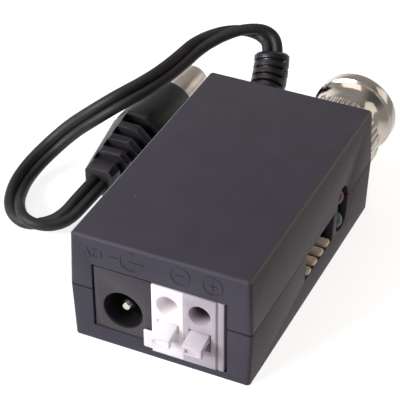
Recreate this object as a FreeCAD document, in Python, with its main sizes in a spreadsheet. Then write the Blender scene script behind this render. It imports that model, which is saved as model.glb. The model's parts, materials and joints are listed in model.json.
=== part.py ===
# Video balun for a security camera: a two-part plastic case with a DC jack and a
# two-pole spring terminal block at the front, a DIP switch and two LEDs on the right,
# and a bayonet coax plug and a short lead with a DC plug at the back.
# Frame: X to the right, Y from the terminals to the coax plug, Z up, origin at the
# middle of the case's bottom face. Millimetres.
import FreeCAD, Part
import Sketcher
import math
import os
import re
from FreeCAD import Placement, Rotation, Vector

doc = FreeCAD.newDocument("video_balun")

# Driving sizes
sizes = {
    # case
    "caseWidth": 29.0, "caseLength": 48.3, "caseHeight": 19.05, "splitHeight": 9.65,
    "wallThick": 1.35, "topSideInset": 0.36, "topEndInset": 0.12, "baseSideInset": 0.35,
    "baseEndInset": 0.1, "topBevel": 0.36, "cornerRound": 0.6, "baseRound": 0.25,
    "postRadius": 1.5, "postInset": 3.9, "postFront": 16.55, "postBack": 8.65, "pinRadius": 0.7,
    "postX": "=caseWidth/2 - postInset", "postFrontY": "=postFront - caseLength/2",
    "postBackY": "=caseLength/2 - postBack",
    "lipThick": 0.8, "lipRise": 1.2, "lipLength": 6.0, "lipGap": 0.2,
    # circuit board
    "boardDrop": 5.15, "boardThick": 1.6, "boardInset": 2.3, "boardFront": 2.15, "boardBack": 5.65,
    "boardFace": "=caseHeight - boardDrop", "boardWidth": "=caseWidth - 2*boardInset",
    "boardFrontY": "=boardFront - caseLength/2", "boardBackY": "=caseLength/2 - boardBack",
    "pinSlack": 0.1, "legRadius": 0.4, "legOut": 0.8,
    # parts under the board
    "coreX": -4.3, "coreY": 2.5, "coreRadius": 4.4, "coreHole": 2.2, "coreTall": 4.0, "coreDrop": 5.0,
    "wireThick": 0.4, "wireSlack": 0.06, "chipX": -9.6, "chipY": 8.2, "chipWide": 3.9,
    "chipLong": 4.9, "chipDrop": 1.65, "chipPitch": 1.27, "chipLeg": 0.4, "canX": -0.5, "canY": 12.8,
    "canRadius": 2.5, "canDrop": 7.4, "canSeal": 2.1,
    # DC jack
    "jackWidth": 9.05, "jackLift": 2.9, "jackDepth": 14.2, "jackX": -6.02, "jackSink": 0.2,
    "jackTall": "=boardFace - jackLift", "jackDrop": "=jackTall*0.62",
    "jackFaceY": "=jackSink - caseLength/2", "jackBore": 3.2, "jackBoreDepth": 9.6,
    "jackFlange": 3.2, "jackGap": 0.3,
    "jackPinRadius": 1.0, "jackPinSink": 1.0, "springThick": 0.3, "springWidth": 2.6,
    # terminal block
    "polePitch": 5.08, "blockLeft": -1.2, "blockProud": 0.12, "blockDepth": 11.2, "floorGap": 0.1,
    "blockFaceY": "=-caseLength/2 - blockProud", "blockTall": "=boardFace - wallThick - floorGap",
    "endPlateThick": 1.2, "blockGap": 0.45, "poleGap": 0.03, "wireDrop": 3.3,
    "wireMouth": 1.75, "wireBore": 1.5, "mouthDepth": 0.7, "tabWidth": 1.4, "tabThick": 0.15,
    "tabLow": 1.85, "tabHigh": 5.1, "leverWidth": 3.0, "leverSlack": 0.25, "leverDrop": 3.1,
    "leverTop": "=boardFace - wireDrop - leverDrop",
    "leverReach": 2.75, "leverLip": 1.65, "padThick": 1.2, "hubDepth": 5.0, "hubRadius": 1.1,
    "hubY": "=blockFaceY + hubDepth", "hubZ": "=leverTop - hubRadius", "trunnionRadius": 0.5,
    "trunnionLength": 0.5, "trunnionSlack": 0.06,
    "slotDrop": 1.9, "cavityFront": 6.2, "cavityBack": 10.0, "cavityRoof": 1.0,
    "slotLow": "=hubZ - slotDrop", "cavityFrontY": "=blockFaceY + cavityFront",
    "cavityBackY": "=blockFaceY + cavityBack", "cavityTop": "=boardFace - cavityRoof",
    # DIP switch
    "dipPitch": 2.54, "dipY": 1.3, "dipLength": 11.7, "dipDepth": 5.8, "dipLift": 4.0,
    "dipSink": 2.2, "keyWidth": 2.06, "keyThick": 0.55, "keyRise": 1.4, "keyProud": 0.1,
    "keyHubSink": 1.9, "keyHubRadius": 0.9, "keySlack": 0.06, "keySlotTall": 3.7, "keyRound": 0.6,
    "dipWindowFront": -3.85, "dipWindowBack": 7.4, "dipWindowGap": 0.8,
    "dipTall": "=boardFace - dipLift", "dipFaceX": "=caseWidth/2 - dipSink",
    "keyLow": "=boardFace - dipTall + keyRise", "keyReach": "=caseWidth/2 + keyProud",
    "keyHubX": "=dipFaceX - keyHubSink", "keySlotTop": "=keyLow + keySlotTall",
    "dipWindowLow": "=keyLow - dipWindowGap",
    # LEDs
    "ledRadius": 1.5, "ledY": 11.1, "ledDrop": 3.52, "ledPitch": 4.55, "ledSink": 1.55,
    "ledRedZ": "=boardFace - ledDrop", "ledGreenZ": "=ledRedZ - ledPitch",
    "ledDomeX": "=caseWidth/2 - ledSink",
    "ledLength": 3.4, "ledRim": 0.3, "ledWindowRadius": 2.2, "ledWindowLow": 0.57,
    "ledWindowHigh": 0.23, "ledLegPitch": 2.54,
    "ledLegHalf": 0.22, "ledLegSink": 4.55, "ledLegX": "=ledDomeX - ledLegSink",
    # coax plug
    "coaxX": 7.05, "coaxFlange": 5.7, "coaxNeck": 4.9, "coaxShoulder": 5.7, "coaxStem": 4.25,
    "coaxSleeve": 4.05, "coaxSleeveBore": 3.5, "coaxCore": 2.4, "coaxPin": 0.67, "coaxTail": 3.0,
    "coaxReach": 12.95, "nutLength": 11.7, "nutBore": 4.9, "nutKnurl": 6.95, "nutWaist": 5.85,
    "nutRim": 7.0, "nutRimWidth": 2.0, "nutKnurlLength": 4.0, "nutRunGap": 0.05,
    "nutStopGap": 0.1, "knurlCount": 48, "knurlDepth": 0.3, "lugSlotWidth": 2.2,
    "lugSlotTurn": 70, "lugSlotRise": 2.4, "nutTravel": 0.4, "washerThick": 0.3,
    "washerWave": 0.35, "ringThick": 0.7, "wallClear": 0.08,
    # strain relief and lead
    "reliefX": -7.35, "reliefStraight": 1.0, "reliefBend": 16.65, "reliefTurn": 52,
    "reliefRise": 73.5, "reliefRadius": 3.02, "reliefCore": 2.3, "reliefPitch": 1.55,
    "reliefSlot": 0.55, "reliefSlotSweep": 168, "reliefEnd": 1.4, "reliefFlange": 4.1,
    "reliefNeck": 2.9, "reliefIn": 1.8, "reliefFlangeThick": 1.5, "reliefTrim": 0.4,
    "leadWidth": 3.6, "leadCore": 0.7, "leadGap": 0.95, "leadTurn": 1.6, "leadIn": 4.5,
    # DC plug
    "plugX": -26.3, "plugTailY": 5.5, "plugHigh": 5.0, "plugRadius": 4.95, "plugNose": 4.6,
    "plugBodyLength": 12.5, "plugRelief": 14.2, "plugReliefWide": 4.8, "plugReliefNarrow": 2.5,
    "plugFlat": 1.85, "plugTailBlock": 2.3, "plugBarPitch": 3.25, "plugSlot": 1.9,
    "plugSlotFloor": 1.95, "plugTailShift": 0.5, "plugTurn": -1.5,
    "barrelRadius": 2.75, "barrelLength": 9.2, "barrelWall": 0.5, "barrelSeat": 3.0,
    "contactRadius": 1.5, "contactBore": 1.05, "pressGap": 0.02, "seatStep": 0.25,
}

sheet = doc.addObject("Spreadsheet::Sheet", "Sizes")
for row, (alias, value) in enumerate(sizes.items(), 1):
    sheet.set(f"A{row}", alias)
    sheet.set(f"B{row}", str(value))
    sheet.setAlias(f"B{row}", alias)
doc.recompute()


# Expressions: plain words become cells of the sheet
def bind(text):
    def cell(match):
        word = match.group()
        return "Sizes." + word if word in sizes else word
    return re.sub(r"[A-Za-z]\w*", cell, str(text))


def val(text):
    return float(sheet.evalExpression(bind(text)))


def drive(thing, **properties):
    for name, text in properties.items():
        thing.setExpression(name, bind(text))


def put(thing, x, y, z, turn=None):
    if turn:
        thing.Placement = Placement(Vector(), turn)
    for axis, text in zip("xyz", (x, y, z)):
        thing.setExpression(f"Placement.Base.{axis}", bind(text))
    return thing


# Primitives and booleans
alongAxis = {
    "x": Rotation(Vector(0, 1, 0), 90),
    "y": Rotation(Vector(1, 0, 0), -90),
    "z": Rotation(),
}


def box(name, low, high):
    piece = doc.addObject("Part::Box", name)
    spans = [f"({b}) - ({a})" for a, b in zip(low, high)]
    drive(piece, Length=spans[0], Width=spans[1], Height=spans[2])
    return put(piece, *low)


def rod(name, start, axis, radius, length):
    piece = doc.addObject("Part::Cylinder", name)
    drive(piece, Radius=radius, Height=length)
    return put(piece, *start, alongAxis[axis])


def cone(name, start, axis, radius, farRadius, length):
    piece = doc.addObject("Part::Cone", name)
    drive(piece, Radius1=radius, Radius2=farRadius, Height=length)
    return put(piece, *start, alongAxis[axis])


def fuse(label, *pieces):
    piece = doc.addObject("Part::MultiFuse", label)
    piece.Shapes = list(pieces)
    piece.Refine = True
    return piece


def cut(label, base, *tools):
    piece = doc.addObject("Part::Cut", label)
    piece.Base = base
    piece.Tool = tools[0] if len(tools) == 1 else fuse(label + "_cuts", *tools)
    piece.Refine = True
    return piece


def fillet(label, base, test, radius):
    doc.recompute()
    piece = doc.addObject("Part::Fillet", label)
    piece.Base = base
    size = val(radius)
    piece.Edges = [(i, size, size) for i, e in enumerate(base.Shape.Edges, 1) if test(e)]
    return piece


# Bodies, sketches and features
def newBody(label):
    return doc.addObject("PartDesign::Body", label)


def sketchOn(body, name, role, lift="0"):
    sketch = body.newObject("Sketcher::SketchObject", name)
    plane = next(f for f in body.Origin.OriginFeatures if f.Role == role)
    sketch.AttachmentSupport = [(plane, "")]
    sketch.MapMode = "FlatFace"
    sketch.setExpression("AttachmentOffset.Base.z", bind(lift))
    return sketch


# A closed outline whose corners are pairs of expressions
def outline(sketch, corners):
    spots = [Vector(val(u), val(v), 0) for u, v in corners]
    first = sketch.GeometryCount
    count = len(spots)
    sketch.addGeometry([Part.LineSegment(spots[i], spots[(i + 1) % count]) for i in range(count)])
    rules = []
    for i, spot in enumerate(spots):
        here, after = first + i, first + (i + 1) % count
        rules.append(Sketcher.Constraint("Coincident", here, 2, after, 1))
        rules.append(Sketcher.Constraint("DistanceX", -1, 1, here, 1, spot.x))
        rules.append(Sketcher.Constraint("DistanceY", -1, 1, here, 1, spot.y))
    start = sketch.ConstraintCount
    sketch.addConstraint(rules)
    for i, (u, v) in enumerate(corners):
        sketch.setExpression(f"Constraints[{start + 3 * i + 1}]", bind(u))
        sketch.setExpression(f"Constraints[{start + 3 * i + 2}]", bind(v))


def rectangle(sketch, low, high):
    outline(sketch, [low, (high[0], low[1]), high, (low[0], high[1])])


def ring(sketch, u, v, radius):
    index = sketch.GeometryCount
    sketch.addGeometry(Part.Circle(Vector(val(u), val(v), 0), Vector(0, 0, 1), val(radius)))
    start = sketch.ConstraintCount
    sketch.addConstraint([
        Sketcher.Constraint("DistanceX", -1, 1, index, 3, val(u)),
        Sketcher.Constraint("DistanceY", -1, 1, index, 3, val(v)),
        Sketcher.Constraint("Radius", index, val(radius)),
    ])
    for i, text in enumerate((u, v, radius)):
        sketch.setExpression(f"Constraints[{start + i}]", bind(text))


# An upright slot with round ends
def roundSlot(sketch, u, low, high, radius):
    x, a, b, r = val(u), val(low), val(high), val(radius)
    up, half = Vector(0, 0, 1), math.pi
    sketch.addGeometry([
        Part.ArcOfCircle(Part.Circle(Vector(x, b, 0), up, r), 0, half),
        Part.LineSegment(Vector(x - r, b, 0), Vector(x - r, a, 0)),
        Part.ArcOfCircle(Part.Circle(Vector(x, a, 0), up, r), half, 2 * half),
        Part.LineSegment(Vector(x + r, a, 0), Vector(x + r, b, 0)),
    ])
    sketch.addConstraint(
        [Sketcher.Constraint("Tangent", i, 2, (i + 1) % 4, 1) for i in range(4)]
        + [Sketcher.Constraint("DistanceX", -1, 1, 0, 3, x), Sketcher.Constraint("DistanceY", -1, 1, 0, 3, b),
           Sketcher.Constraint("DistanceX", -1, 1, 2, 3, x), Sketcher.Constraint("DistanceY", -1, 1, 2, 3, a),
           Sketcher.Constraint("Radius", 0, r)])
    for i, text in enumerate((u, high, u, low, radius), 4):
        sketch.setExpression(f"Constraints[{i}]", bind(text))


def pad(body, name, sketch, length, back=False):
    feature = body.newObject("PartDesign::Pad", name)
    feature.Profile = sketch
    feature.Reversed = back
    drive(feature, Length=length)
    return feature


def pocket(body, name, sketch, length, back=False):
    feature = body.newObject("PartDesign::Pocket", name)
    feature.Profile = sketch
    feature.Reversed = back
    drive(feature, Length=length)
    return feature


def loft(body, name, kind, near, far):
    feature = body.newObject("PartDesign::" + kind, name)
    feature.Profile = near
    feature.Sections = [far]
    feature.Ruled = True
    return feature


def dress(body, name, kind, base, test, **size):
    doc.recompute()
    feature = body.newObject("PartDesign::" + kind, name)
    names = [f"Edge{i}" for i, e in enumerate(base.Shape.Edges, 1) if test(e)]
    feature.Base = (base, names)
    drive(feature, **size)
    return feature


# A turned piece: corners are (radius, place along the axis), spun about Y
def turned(label, corners, x, z):
    body = newBody(label)
    sketch = sketchOn(body, label + "_profile", "XY_Plane")
    outline(sketch, corners)
    spin = body.newObject("PartDesign::Revolution", label + "_turned")
    spin.Profile = sketch
    spin.ReferenceAxis = (sketch, ["V_Axis"])
    spin.Angle = 360
    put(body, x, "0", z)
    return body


def isUpright(edge):
    if len(edge.Vertexes) < 2:
        return False
    a, b = edge.Vertexes[0].Point, edge.Vertexes[-1].Point
    return abs(a.z - b.z) > 0.8 * edge.Length


def isLevelAt(height):
    def test(edge):
        return all(abs(v.Point.z - height) < 0.01 for v in edge.Vertexes)
    return test


# Case halves: drafted boxes, widest at the split line
halfWide, halfLong = "caseWidth/2", "caseLength/2"
frontCut = "caseLength/2 + 1"
wallCut = "wallThick + 1.6"
boardTop = "boardFace + boardThick"
posts = [("-postX", "postFrontY"), ("postX", "postFrontY"),
         ("-postX", "postBackY"), ("postX", "postBackY")]
coaxHole = "coaxNeck + wallClear"
reliefHole = "reliefNeck + wallClear"
jackLeft = "jackX - jackWidth/2"
jackRight = "jackX + jackWidth/2"
blockRight = "blockLeft + 2*polePitch + endPlateThick"
blockLow = "boardFace - blockTall"
jackLow = "boardFace - jackTall"
midGap = f"(({jackRight}) + blockLeft)/2"


# A drafted block with level ends: its foot at the split line, its far end up or down
def wedge(body, name, kind, halfU, halfV, farU, farV, rise, down):
    feature = body.newObject(f"PartDesign::{kind}Wedge", name)
    drive(feature, Xmin=f"-({halfU})", Xmax=halfU, Zmin=f"-({halfV})", Zmax=halfV, Ymin="0",
          X2min=f"-({farU})", X2max=farU, Z2min=f"-({farV})", Z2max=farV, Ymax=rise)
    put(feature, "0", "0", "splitHeight", Rotation(Vector(1, 0, 0), -90 if down else 90))
    return feature


def halfShell(label, rise, sideInset, endInset, down):
    body = newBody(label)
    block = wedge(body, label + "_block", "Additive", halfWide, halfLong,
                  f"{halfWide} - {sideInset}", f"{halfLong} - {endInset}", rise, down)
    rounded = dress(body, label + "_corners", "Fillet", block, isUpright, Radius="cornerRound")
    level = isLevelAt(0 if down else val("caseHeight"))
    if down:
        dress(body, label + "_rounding", "Fillet", rounded, level, Radius="baseRound")
    else:
        dress(body, label + "_bevel", "Chamfer", rounded, level, Size="topBevel")
    wedge(body, label + "_hollow", "Subtractive", f"{halfWide} - wallThick",
          f"{halfLong} - wallThick", f"{halfWide} - {sideInset} - wallThick",
          f"{halfLong} - {endInset} - wallThick", f"{rise} - wallThick", down)
    return body


def rearHoles(body, label):
    sketch = sketchOn(body, label + "_rear_holes", "XZ_Plane", f"-({frontCut})")
    ring(sketch, "coaxX", "splitHeight", coaxHole)
    ring(sketch, "reliefX", "splitHeight", reliefHole)
    pocket(body, label + "_rear_cut", sketch, wallCut, back=True)


def ledWindow(body, label):
    slot = sketchOn(body, label + "_led_slot", "YZ_Plane", f"{halfWide} + 1")
    roundSlot(slot, "ledY", "ledGreenZ + ledWindowLow", "ledRedZ - ledWindowHigh", "ledWindowRadius")
    pocket(body, label + "_led_cut", slot, wallCut)


def topCover():
    body = halfShell("top_cover", "caseHeight - splitHeight", "topSideInset", "topEndInset", False)
    mouth = sketchOn(body, "cover_mouth", "XZ_Plane", frontCut)
    outline(mouth, [
        (f"{jackLeft} - jackGap", "splitHeight - 1"), (f"{blockRight} + blockGap", "splitHeight - 1"),
        (f"{blockRight} + blockGap", "boardFace + 0.1"), (midGap, "boardFace + 0.1"),
        (midGap, "boardFace + jackGap"), (f"{jackLeft} - jackGap", "boardFace + jackGap"),
    ])
    pocket(body, "cover_mouth_cut", mouth, wallCut)
    rearHoles(body, "top_cover")
    ledWindow(body, "top_cover")
    postSketch = sketchOn(body, "cover_posts", "XY_Plane", boardTop)
    pinSketch = sketchOn(body, "cover_pins", "XY_Plane", "boardFace + pinSlack")
    for x, y in posts:
        ring(postSketch, x, y, "postRadius")
        ring(pinSketch, x, y, "pinRadius")
    pad(body, "cover_post", postSketch, f"caseHeight - wallThick/2 - ({boardTop})")
    pad(body, "cover_pin", pinSketch, "boardThick + 0.2")


def bottomShell():
    body = halfShell("bottom_shell", "splitHeight", "baseSideInset", "baseEndInset", True)
    mouth = sketchOn(body, "base_mouth", "XZ_Plane", frontCut)
    outline(mouth, [
        (f"{jackLeft} - jackGap", "splitHeight + 1"), (f"{jackLeft} - jackGap", f"{jackLow} - 0.1"),
        (midGap, f"{jackLow} - 0.1"), (midGap, f"{blockLow} - 0.1"),
        (f"{blockRight} + blockGap", f"{blockLow} - 0.1"),
        (f"{blockRight} + blockGap", "splitHeight + 1"),
    ])
    pocket(body, "base_mouth_cut", mouth, wallCut)
    rearHoles(body, "bottom_shell")
    ledWindow(body, "bottom_shell")
    window = sketchOn(body, "base_dip_window", "YZ_Plane", f"{halfWide} + 1")
    rectangle(window, ("dipWindowFront", "dipWindowLow"), ("dipWindowBack", "splitHeight + 1"))
    pocket(body, "base_dip_cut", window, wallCut)
    postSketch = sketchOn(body, "base_posts", "XY_Plane", "wallThick/2")
    for x, y in posts:
        ring(postSketch, x, y, "postRadius")
    pad(body, "base_post", postSketch, "boardFace - wallThick/2")
    lipFar = f"{halfWide} - wallThick - lipGap"
    lipNear = f"{lipFar} - lipThick"
    rib = sketchOn(body, "base_lip_ribs", "XY_Plane", "splitHeight - lipRise")
    tongue = sketchOn(body, "base_lips", "XY_Plane", "splitHeight - lipRise/2")
    for y in ("-caseLength/4 - lipLength/2", "caseLength/4 + lipLength/4"):
        rectangle(rib, (f"-({halfWide} - wallThick/2)", y), (f"-({lipNear})", f"{y} + lipLength"))
        rectangle(tongue, (f"-({lipFar})", y), (f"-({lipNear})", f"{y} + lipLength"))
    y = "-caseLength/4 - lipLength/2"
    rectangle(rib, (lipNear, y), (f"{halfWide} - wallThick/2", f"{y} + lipLength"))
    rectangle(tongue, (lipNear, y), (lipFar, f"{y} + lipLength"))
    pad(body, "base_lip_rib", rib, "lipRise")
    pad(body, "base_lip", tongue, "lipRise*1.5")


# Circuit board: two-layer board with the holes of all its legs
jackLegs = [("jackX", "jackFaceY + jackDepth + legRadius + 0.1"),
            ("jackX + 3.2", "jackFaceY + jackDepth + legRadius + 0.1")]
poleX = ["blockLeft + polePitch/2", "blockLeft + polePitch*1.5"]
keyY = [f"dipY + dipPitch*{i - 1.5}" for i in range(4)]
dipLegX = ["dipFaceX - dipDepth/2 - dipPitch/2", "dipFaceX - dipDepth/2 + dipPitch/2"]
ledLegY = ["ledY - ledLegPitch/2", "ledY + ledLegPitch/2"]
poleLegY = "cavityBackY - 1.2"


def circuitBoard():
    body = newBody("circuit_board")
    sheetOutline = sketchOn(body, "board_outline", "XY_Plane", "boardFace")
    half = "boardWidth/2"
    rectangle(sheetOutline, (f"-{half}", "boardFrontY"), (half, "boardBackY"))
    pad(body, "board_sheet", sheetOutline, "boardThick")
    holes = sketchOn(body, "board_holes", "XY_Plane", "boardFace + boardThick")
    for x, y in posts:
        ring(holes, x, y, "pinRadius + pinSlack")
    for x, y in jackLegs:
        ring(holes, x, y, "legRadius + pinSlack")
    for x in poleX:
        ring(holes, x, poleLegY, "legRadius + pinSlack")
    for x in dipLegX:
        for y in keyY:
            ring(holes, x, y, "legRadius*0.7 + pinSlack")
    for x in ("ledLegX", "ledLegX - ledLegPitch"):
        for y in ledLegY:
            ring(holes, x, y, "ledLegHalf*1.5 + pinSlack")
    pocket(body, "board_drilled", holes, "boardThick")


def leg(name, x, y, start, radius="legRadius"):
    return rod(name, (x, y, start), "z", radius, f"{boardTop} + legOut - ({start})")


# Parts soldered under the board
def boardParts():
    low = "boardFace - coreDrop"
    cut("balun_core", rod("core_blank", ("coreX", "coreY", low), "z", "coreRadius", "coreTall"),
        rod("core_hole", ("coreX", "coreY", low), "z", "coreHole", "coreTall"))
    turns = []
    wire = val("wireThick")
    middle = Vector(val("coreX"), val("coreY"), val(f"{low} + coreTall/2"))
    inner = (val("coreHole - wireSlack"), val("coreRadius + wireSlack"), val("coreTall/2 + wireSlack"))
    for i in range(14):
        outer = Part.makeBox(inner[1] - inner[0] + 2 * wire, wire, 2 * (inner[2] + wire),
                             Vector(inner[0] - wire, -wire / 2, -inner[2] - wire))
        hole = Part.makeBox(inner[1] - inner[0], wire, 2 * inner[2],
                            Vector(inner[0], -wire / 2, -inner[2]))
        turn = outer.cut(hole)
        turn.rotate(Vector(), Vector(0, 0, 1), 36 + i * 288 / 13)
        turns.append(turn)
    winding = doc.addObject("Part::Feature", "balun_winding")
    winding.Shape = Part.makeCompound(turns)
    winding.Placement = Placement(middle, Rotation())
    far = "chipX + chipWide"
    chip = [box("chip_body", ("chipX", "chipY", "boardFace - chipDrop"),
                (far, "chipY + chipLong", "boardFace - chipLeg/2"))]
    for i in range(4):
        y = f"chipY + chipLong/2 + chipPitch*{i - 1.5}"
        for j, (near, end) in enumerate((("chipX - 2.5*chipLeg", "chipX + chipLeg/4"),
                                         (f"{far} - chipLeg/4", f"{far} + 2.5*chipLeg"))):
            chip.append(box(f"chip_leg_{i}_{j}", (near, f"{y} - chipLeg/2", "boardFace - chipLeg"),
                            (end, f"{y} + chipLeg/2", "boardFace")))
    fuse("driver_chip", *chip)
    can = rod("can_body", ("canX", "canY", "boardFace - canDrop"), "z", "canRadius", "canDrop - canRadius/5")
    fuse("filter_capacitor", can,
         rod("can_seal", ("canX", "canY", "boardFace - canRadius/5"), "z", "canSeal", "canRadius/5"))


# DC jack: square front flange, arched body, stepped bore
def dcJack():
    back = "jackFaceY + jackDepth"
    axisZ = "boardFace - jackDrop"
    flange = box("jack_flange", (jackLeft, "jackFaceY", jackLow),
                 (jackRight, "jackFaceY + jackFlange", "boardFace"))
    side = "(jackTall - jackDrop)"
    block = box("jack_block", (f"jackX - {side}", "jackFaceY", axisZ),
                (f"jackX + {side}", back, "boardFace"))
    arch = rod("jack_arch", ("jackX", "jackFaceY", axisZ), "y", "jackTall - jackDrop", "jackDepth")
    bore = rod("jack_bore", ("jackX", "jackFaceY - 0.1", axisZ), "y", "jackBore", "jackBoreDepth + 0.1")
    seat = rod("jack_pin_seat", ("jackX", "jackFaceY", axisZ), "y",
               "jackPinRadius - seatStep + pressGap", "jackDepth")
    slotLow = f"{axisZ} - jackBore - springThick"
    slot = box("jack_spring_slot",
               ("jackX - springWidth/2 - 0.1", "jackFaceY + jackFlange", f"{slotLow} - 0.1"),
               ("jackX + springWidth/2 + 0.1", f"{back} - 1.5", axisZ))
    exit_ = box("jack_spring_exit",
                ("jackX - springWidth/2 - 0.1", f"{back} - 1.6", f"{slotLow} - 0.1"),
                ("jackX + springWidth/2 + 0.1", f"{back} + 0.1", f"{slotLow} + springThick + 0.1"))
    cut("jack_housing", fuse("jack_solid", flange, block, arch), bore, seat, slot, exit_)
    turnedPin = turned("jack_pin_turned", [
        ("0", "jackFaceY + jackPinSink"), ("jackPinRadius*0.55", "jackFaceY + jackPinSink"),
        ("jackPinRadius", "jackFaceY + jackPinSink + jackPinRadius*0.6"),
        ("jackPinRadius", "jackFaceY + jackBoreDepth"),
        ("jackPinRadius - seatStep", "jackFaceY + jackBoreDepth"),
        ("jackPinRadius - seatStep", back), ("jackPinRadius*1.7", back),
        ("jackPinRadius*1.7", f"{back} + 0.4"), ("0", f"{back} + 0.4"),
    ], "jackX", axisZ)
    tail = box("jack_pin_tail", ("jackX - 0.6", f"{back} + 0.1", axisZ),
               ("jackX + 0.6", f"{back} + 0.4", "boardFace - 0.1"))
    fuse("jack_pin", turnedPin, tail, leg("jack_pin_leg", *jackLegs[0], "boardFace - 1"))
    strip = box("spring_strip",
                ("jackX - springWidth/2", "jackFaceY + jackFlange + 0.2", slotLow),
                ("jackX + springWidth/2", f"{back} + 0.3", f"{slotLow} + springThick"))
    riser = box("spring_riser", ("jackX + 2.2", f"{back} + 0.05", slotLow),
                ("jackX + 4.2", f"{back} + 0.3", "boardFace - 0.1"))
    foot = box("spring_foot", ("jackX - springWidth/2", f"{back} + 0.05", slotLow),
               ("jackX + 4.2", f"{back} + 0.3", f"{slotLow} + 1"))
    fuse("jack_spring_contact", strip, riser, foot, leg("jack_spring_leg", *jackLegs[1], "boardFace - 1"))


# Spring terminal block: two poles, a closing plate, a pressed lever in each pole
def pole(index, colour):
    left = f"blockLeft + polePitch*{index}"
    middle = poleX[index]
    back = "blockFaceY + blockDepth"
    wireZ = "boardFace - wireDrop"
    block = box(f"pole_{colour}_block", (left, "blockFaceY", blockLow),
                (f"{left} + polePitch - poleGap", back, "boardFace"))
    bodies = [block]
    if index == 0:
        tab = box("dovetail", (f"{left} - tabWidth", "blockFaceY", "tabLow"),
                  (f"{left} + 0.5", "blockFaceY + tabThick", "tabHigh"))
        corner = fillet("dovetail_corner", tab, lambda e: abs(e.CenterOfMass.x - val(f"{left} - tabWidth"))
                        < 0.01 and abs(e.CenterOfMass.y - val("blockFaceY + tabThick/2")) < 0.01, "0.3")
        bodies.append(corner)
    mouth = cone(f"mouth_{colour}", (middle, "blockFaceY", wireZ), "y", "wireMouth", "wireBore", "mouthDepth")
    bore = rod(f"wire_{colour}", (middle, "blockFaceY", wireZ), "y", "wireBore",
               "cavityFrontY - blockFaceY + 0.5")
    half = "leverWidth/2 + leverSlack"
    slot = box(f"lever_slot_{colour}", (f"{middle} - ({half})", "blockFaceY - 1", "slotLow"),
               (f"{middle} + {half}", "cavityFrontY + 0.5", "leverTop + leverSlack"))
    cavity = box(f"cavity_{colour}", (f"{middle} - ({half})", "cavityFrontY", "slotLow"),
                 (f"{middle} + {half}", "cavityBackY", "cavityTop"))
    reach = f"{half} + trunnionLength"
    pivot = rod(f"pivot_{colour}", (f"{middle} - ({reach})", "hubY", "hubZ"), "x",
                "trunnionRadius + trunnionSlack", f"2*({reach})")
    legHole = rod(f"leg_hole_{colour}", (middle, poleLegY, "cavityTop - 0.5"), "z",
                  "legRadius + pinSlack", "3")
    base = bodies[0] if len(bodies) == 1 else fuse(f"pole_{colour}_solid", *bodies)
    cut(f"terminal_{colour}", base, mouth, bore, slot, cavity, pivot, legHole)


def lever(index, colour):
    middle = poleX[index]
    tip = "blockFaceY - leverReach"
    body = newBody(f"lever_{colour}_arm")
    side = sketchOn(body, f"lever_{colour}_side", "YZ_Plane", f"{middle} - leverWidth/2")
    outline(side, [
        (tip, "leverTop - 0.6"), (tip, "leverTop - 0.6 - leverLip"),
        (f"{tip} + 0.8", "leverTop - 0.6 - leverLip"), (f"{tip} + 0.8", "leverTop - 0.3 - padThick"),
        ("blockFaceY - 0.3", "leverTop - 0.1 - padThick"), ("blockFaceY + 2.5", "hubZ - hubRadius"),
        ("hubY", "hubZ - hubRadius"), ("hubY + hubRadius*0.7", "hubZ - hubRadius*0.7"),
        ("hubY + hubRadius", "hubZ"), ("hubY + hubRadius*0.7", "hubZ + hubRadius*0.7"),
        ("hubY", "leverTop"), ("blockFaceY", "leverTop"),
    ])
    pad(body, f"lever_{colour}_plate", side, "leverWidth")
    recess = sketchOn(body, f"lever_{colour}_recess", "XZ_Plane", f"-({tip})")
    rectangle(recess, (f"{middle} - leverWidth*0.36", "leverTop - 0.25 - leverLip"),
              (f"{middle} + leverWidth*0.36", "leverTop - 1.15"))
    pocket(body, f"lever_{colour}_pocket", recess, "0.35")
    reach = "leverWidth/2 + leverSlack + trunnionLength*0.8"
    axle = rod(f"trunnion_{colour}", (f"{middle} - ({reach})", "hubY", "hubZ"), "x", "trunnionRadius",
               f"2*({reach})")
    fuse(f"lever_{colour}", body, axle)


def clamp(index, colour):
    middle = poleX[index]
    wide = "leverWidth*0.42"
    body = newBody(f"clamp_spring_{colour}")
    side = sketchOn(body, f"clamp_{colour}_side", "YZ_Plane", f"{middle} - {wide}")
    back = "cavityBackY - 0.15"
    top = "cavityTop - 0.6"
    thick = "springThick"
    front = "cavityFrontY + 0.35"
    outline(side, [
        (back, "slotLow + 0.3"), (back, top), (front, top), (front, "boardFace - wireDrop - 2.0"),
        (f"{front} + 1.2", "boardFace - wireDrop - 3.2"),
        (f"{front} + 1.2 + {thick}", f"boardFace - wireDrop - 3.2 + {thick}"),
        (f"{front} + {thick}", f"boardFace - wireDrop - 2.0 + {thick}*0.5"),
        (f"{front} + {thick}", f"{top} - {thick}"), (f"{back} - {thick}", f"{top} - {thick}"),
        (f"{back} - {thick}", "slotLow + 0.3"),
    ])
    pad(body, f"clamp_{colour}_strip", side, f"2*{wide}")
    bar = box(f"bar_{colour}", (f"{middle} - {wide}", "cavityFrontY + 0.3", top),
              (f"{middle} + {wide}", "cavityBackY - 0.1", "cavityTop - 0.05"))
    fuse(f"contact_{colour}", bar, leg(f"contact_leg_{colour}", middle, poleLegY, "cavityTop - 0.3"))


def terminalBlock():
    for index, colour in enumerate(("white", "grey")):
        pole(index, colour)
        lever(index, colour)
        clamp(index, colour)
    left = "blockLeft + 2*polePitch"
    plate = box("end_plate_blank", (left, "blockFaceY + 0.1", blockLow),
                (f"{left} + endPlateThick", "blockFaceY + blockDepth", "boardFace"))
    rib = box("end_plate_groove", (f"{left} + 0.15", "blockFaceY", f"{blockLow} - 1"),
              (f"{left} + 0.3", "blockFaceY + 0.25", "boardFace + 1"))
    cut("terminal_end_plate", plate, rib)


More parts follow.
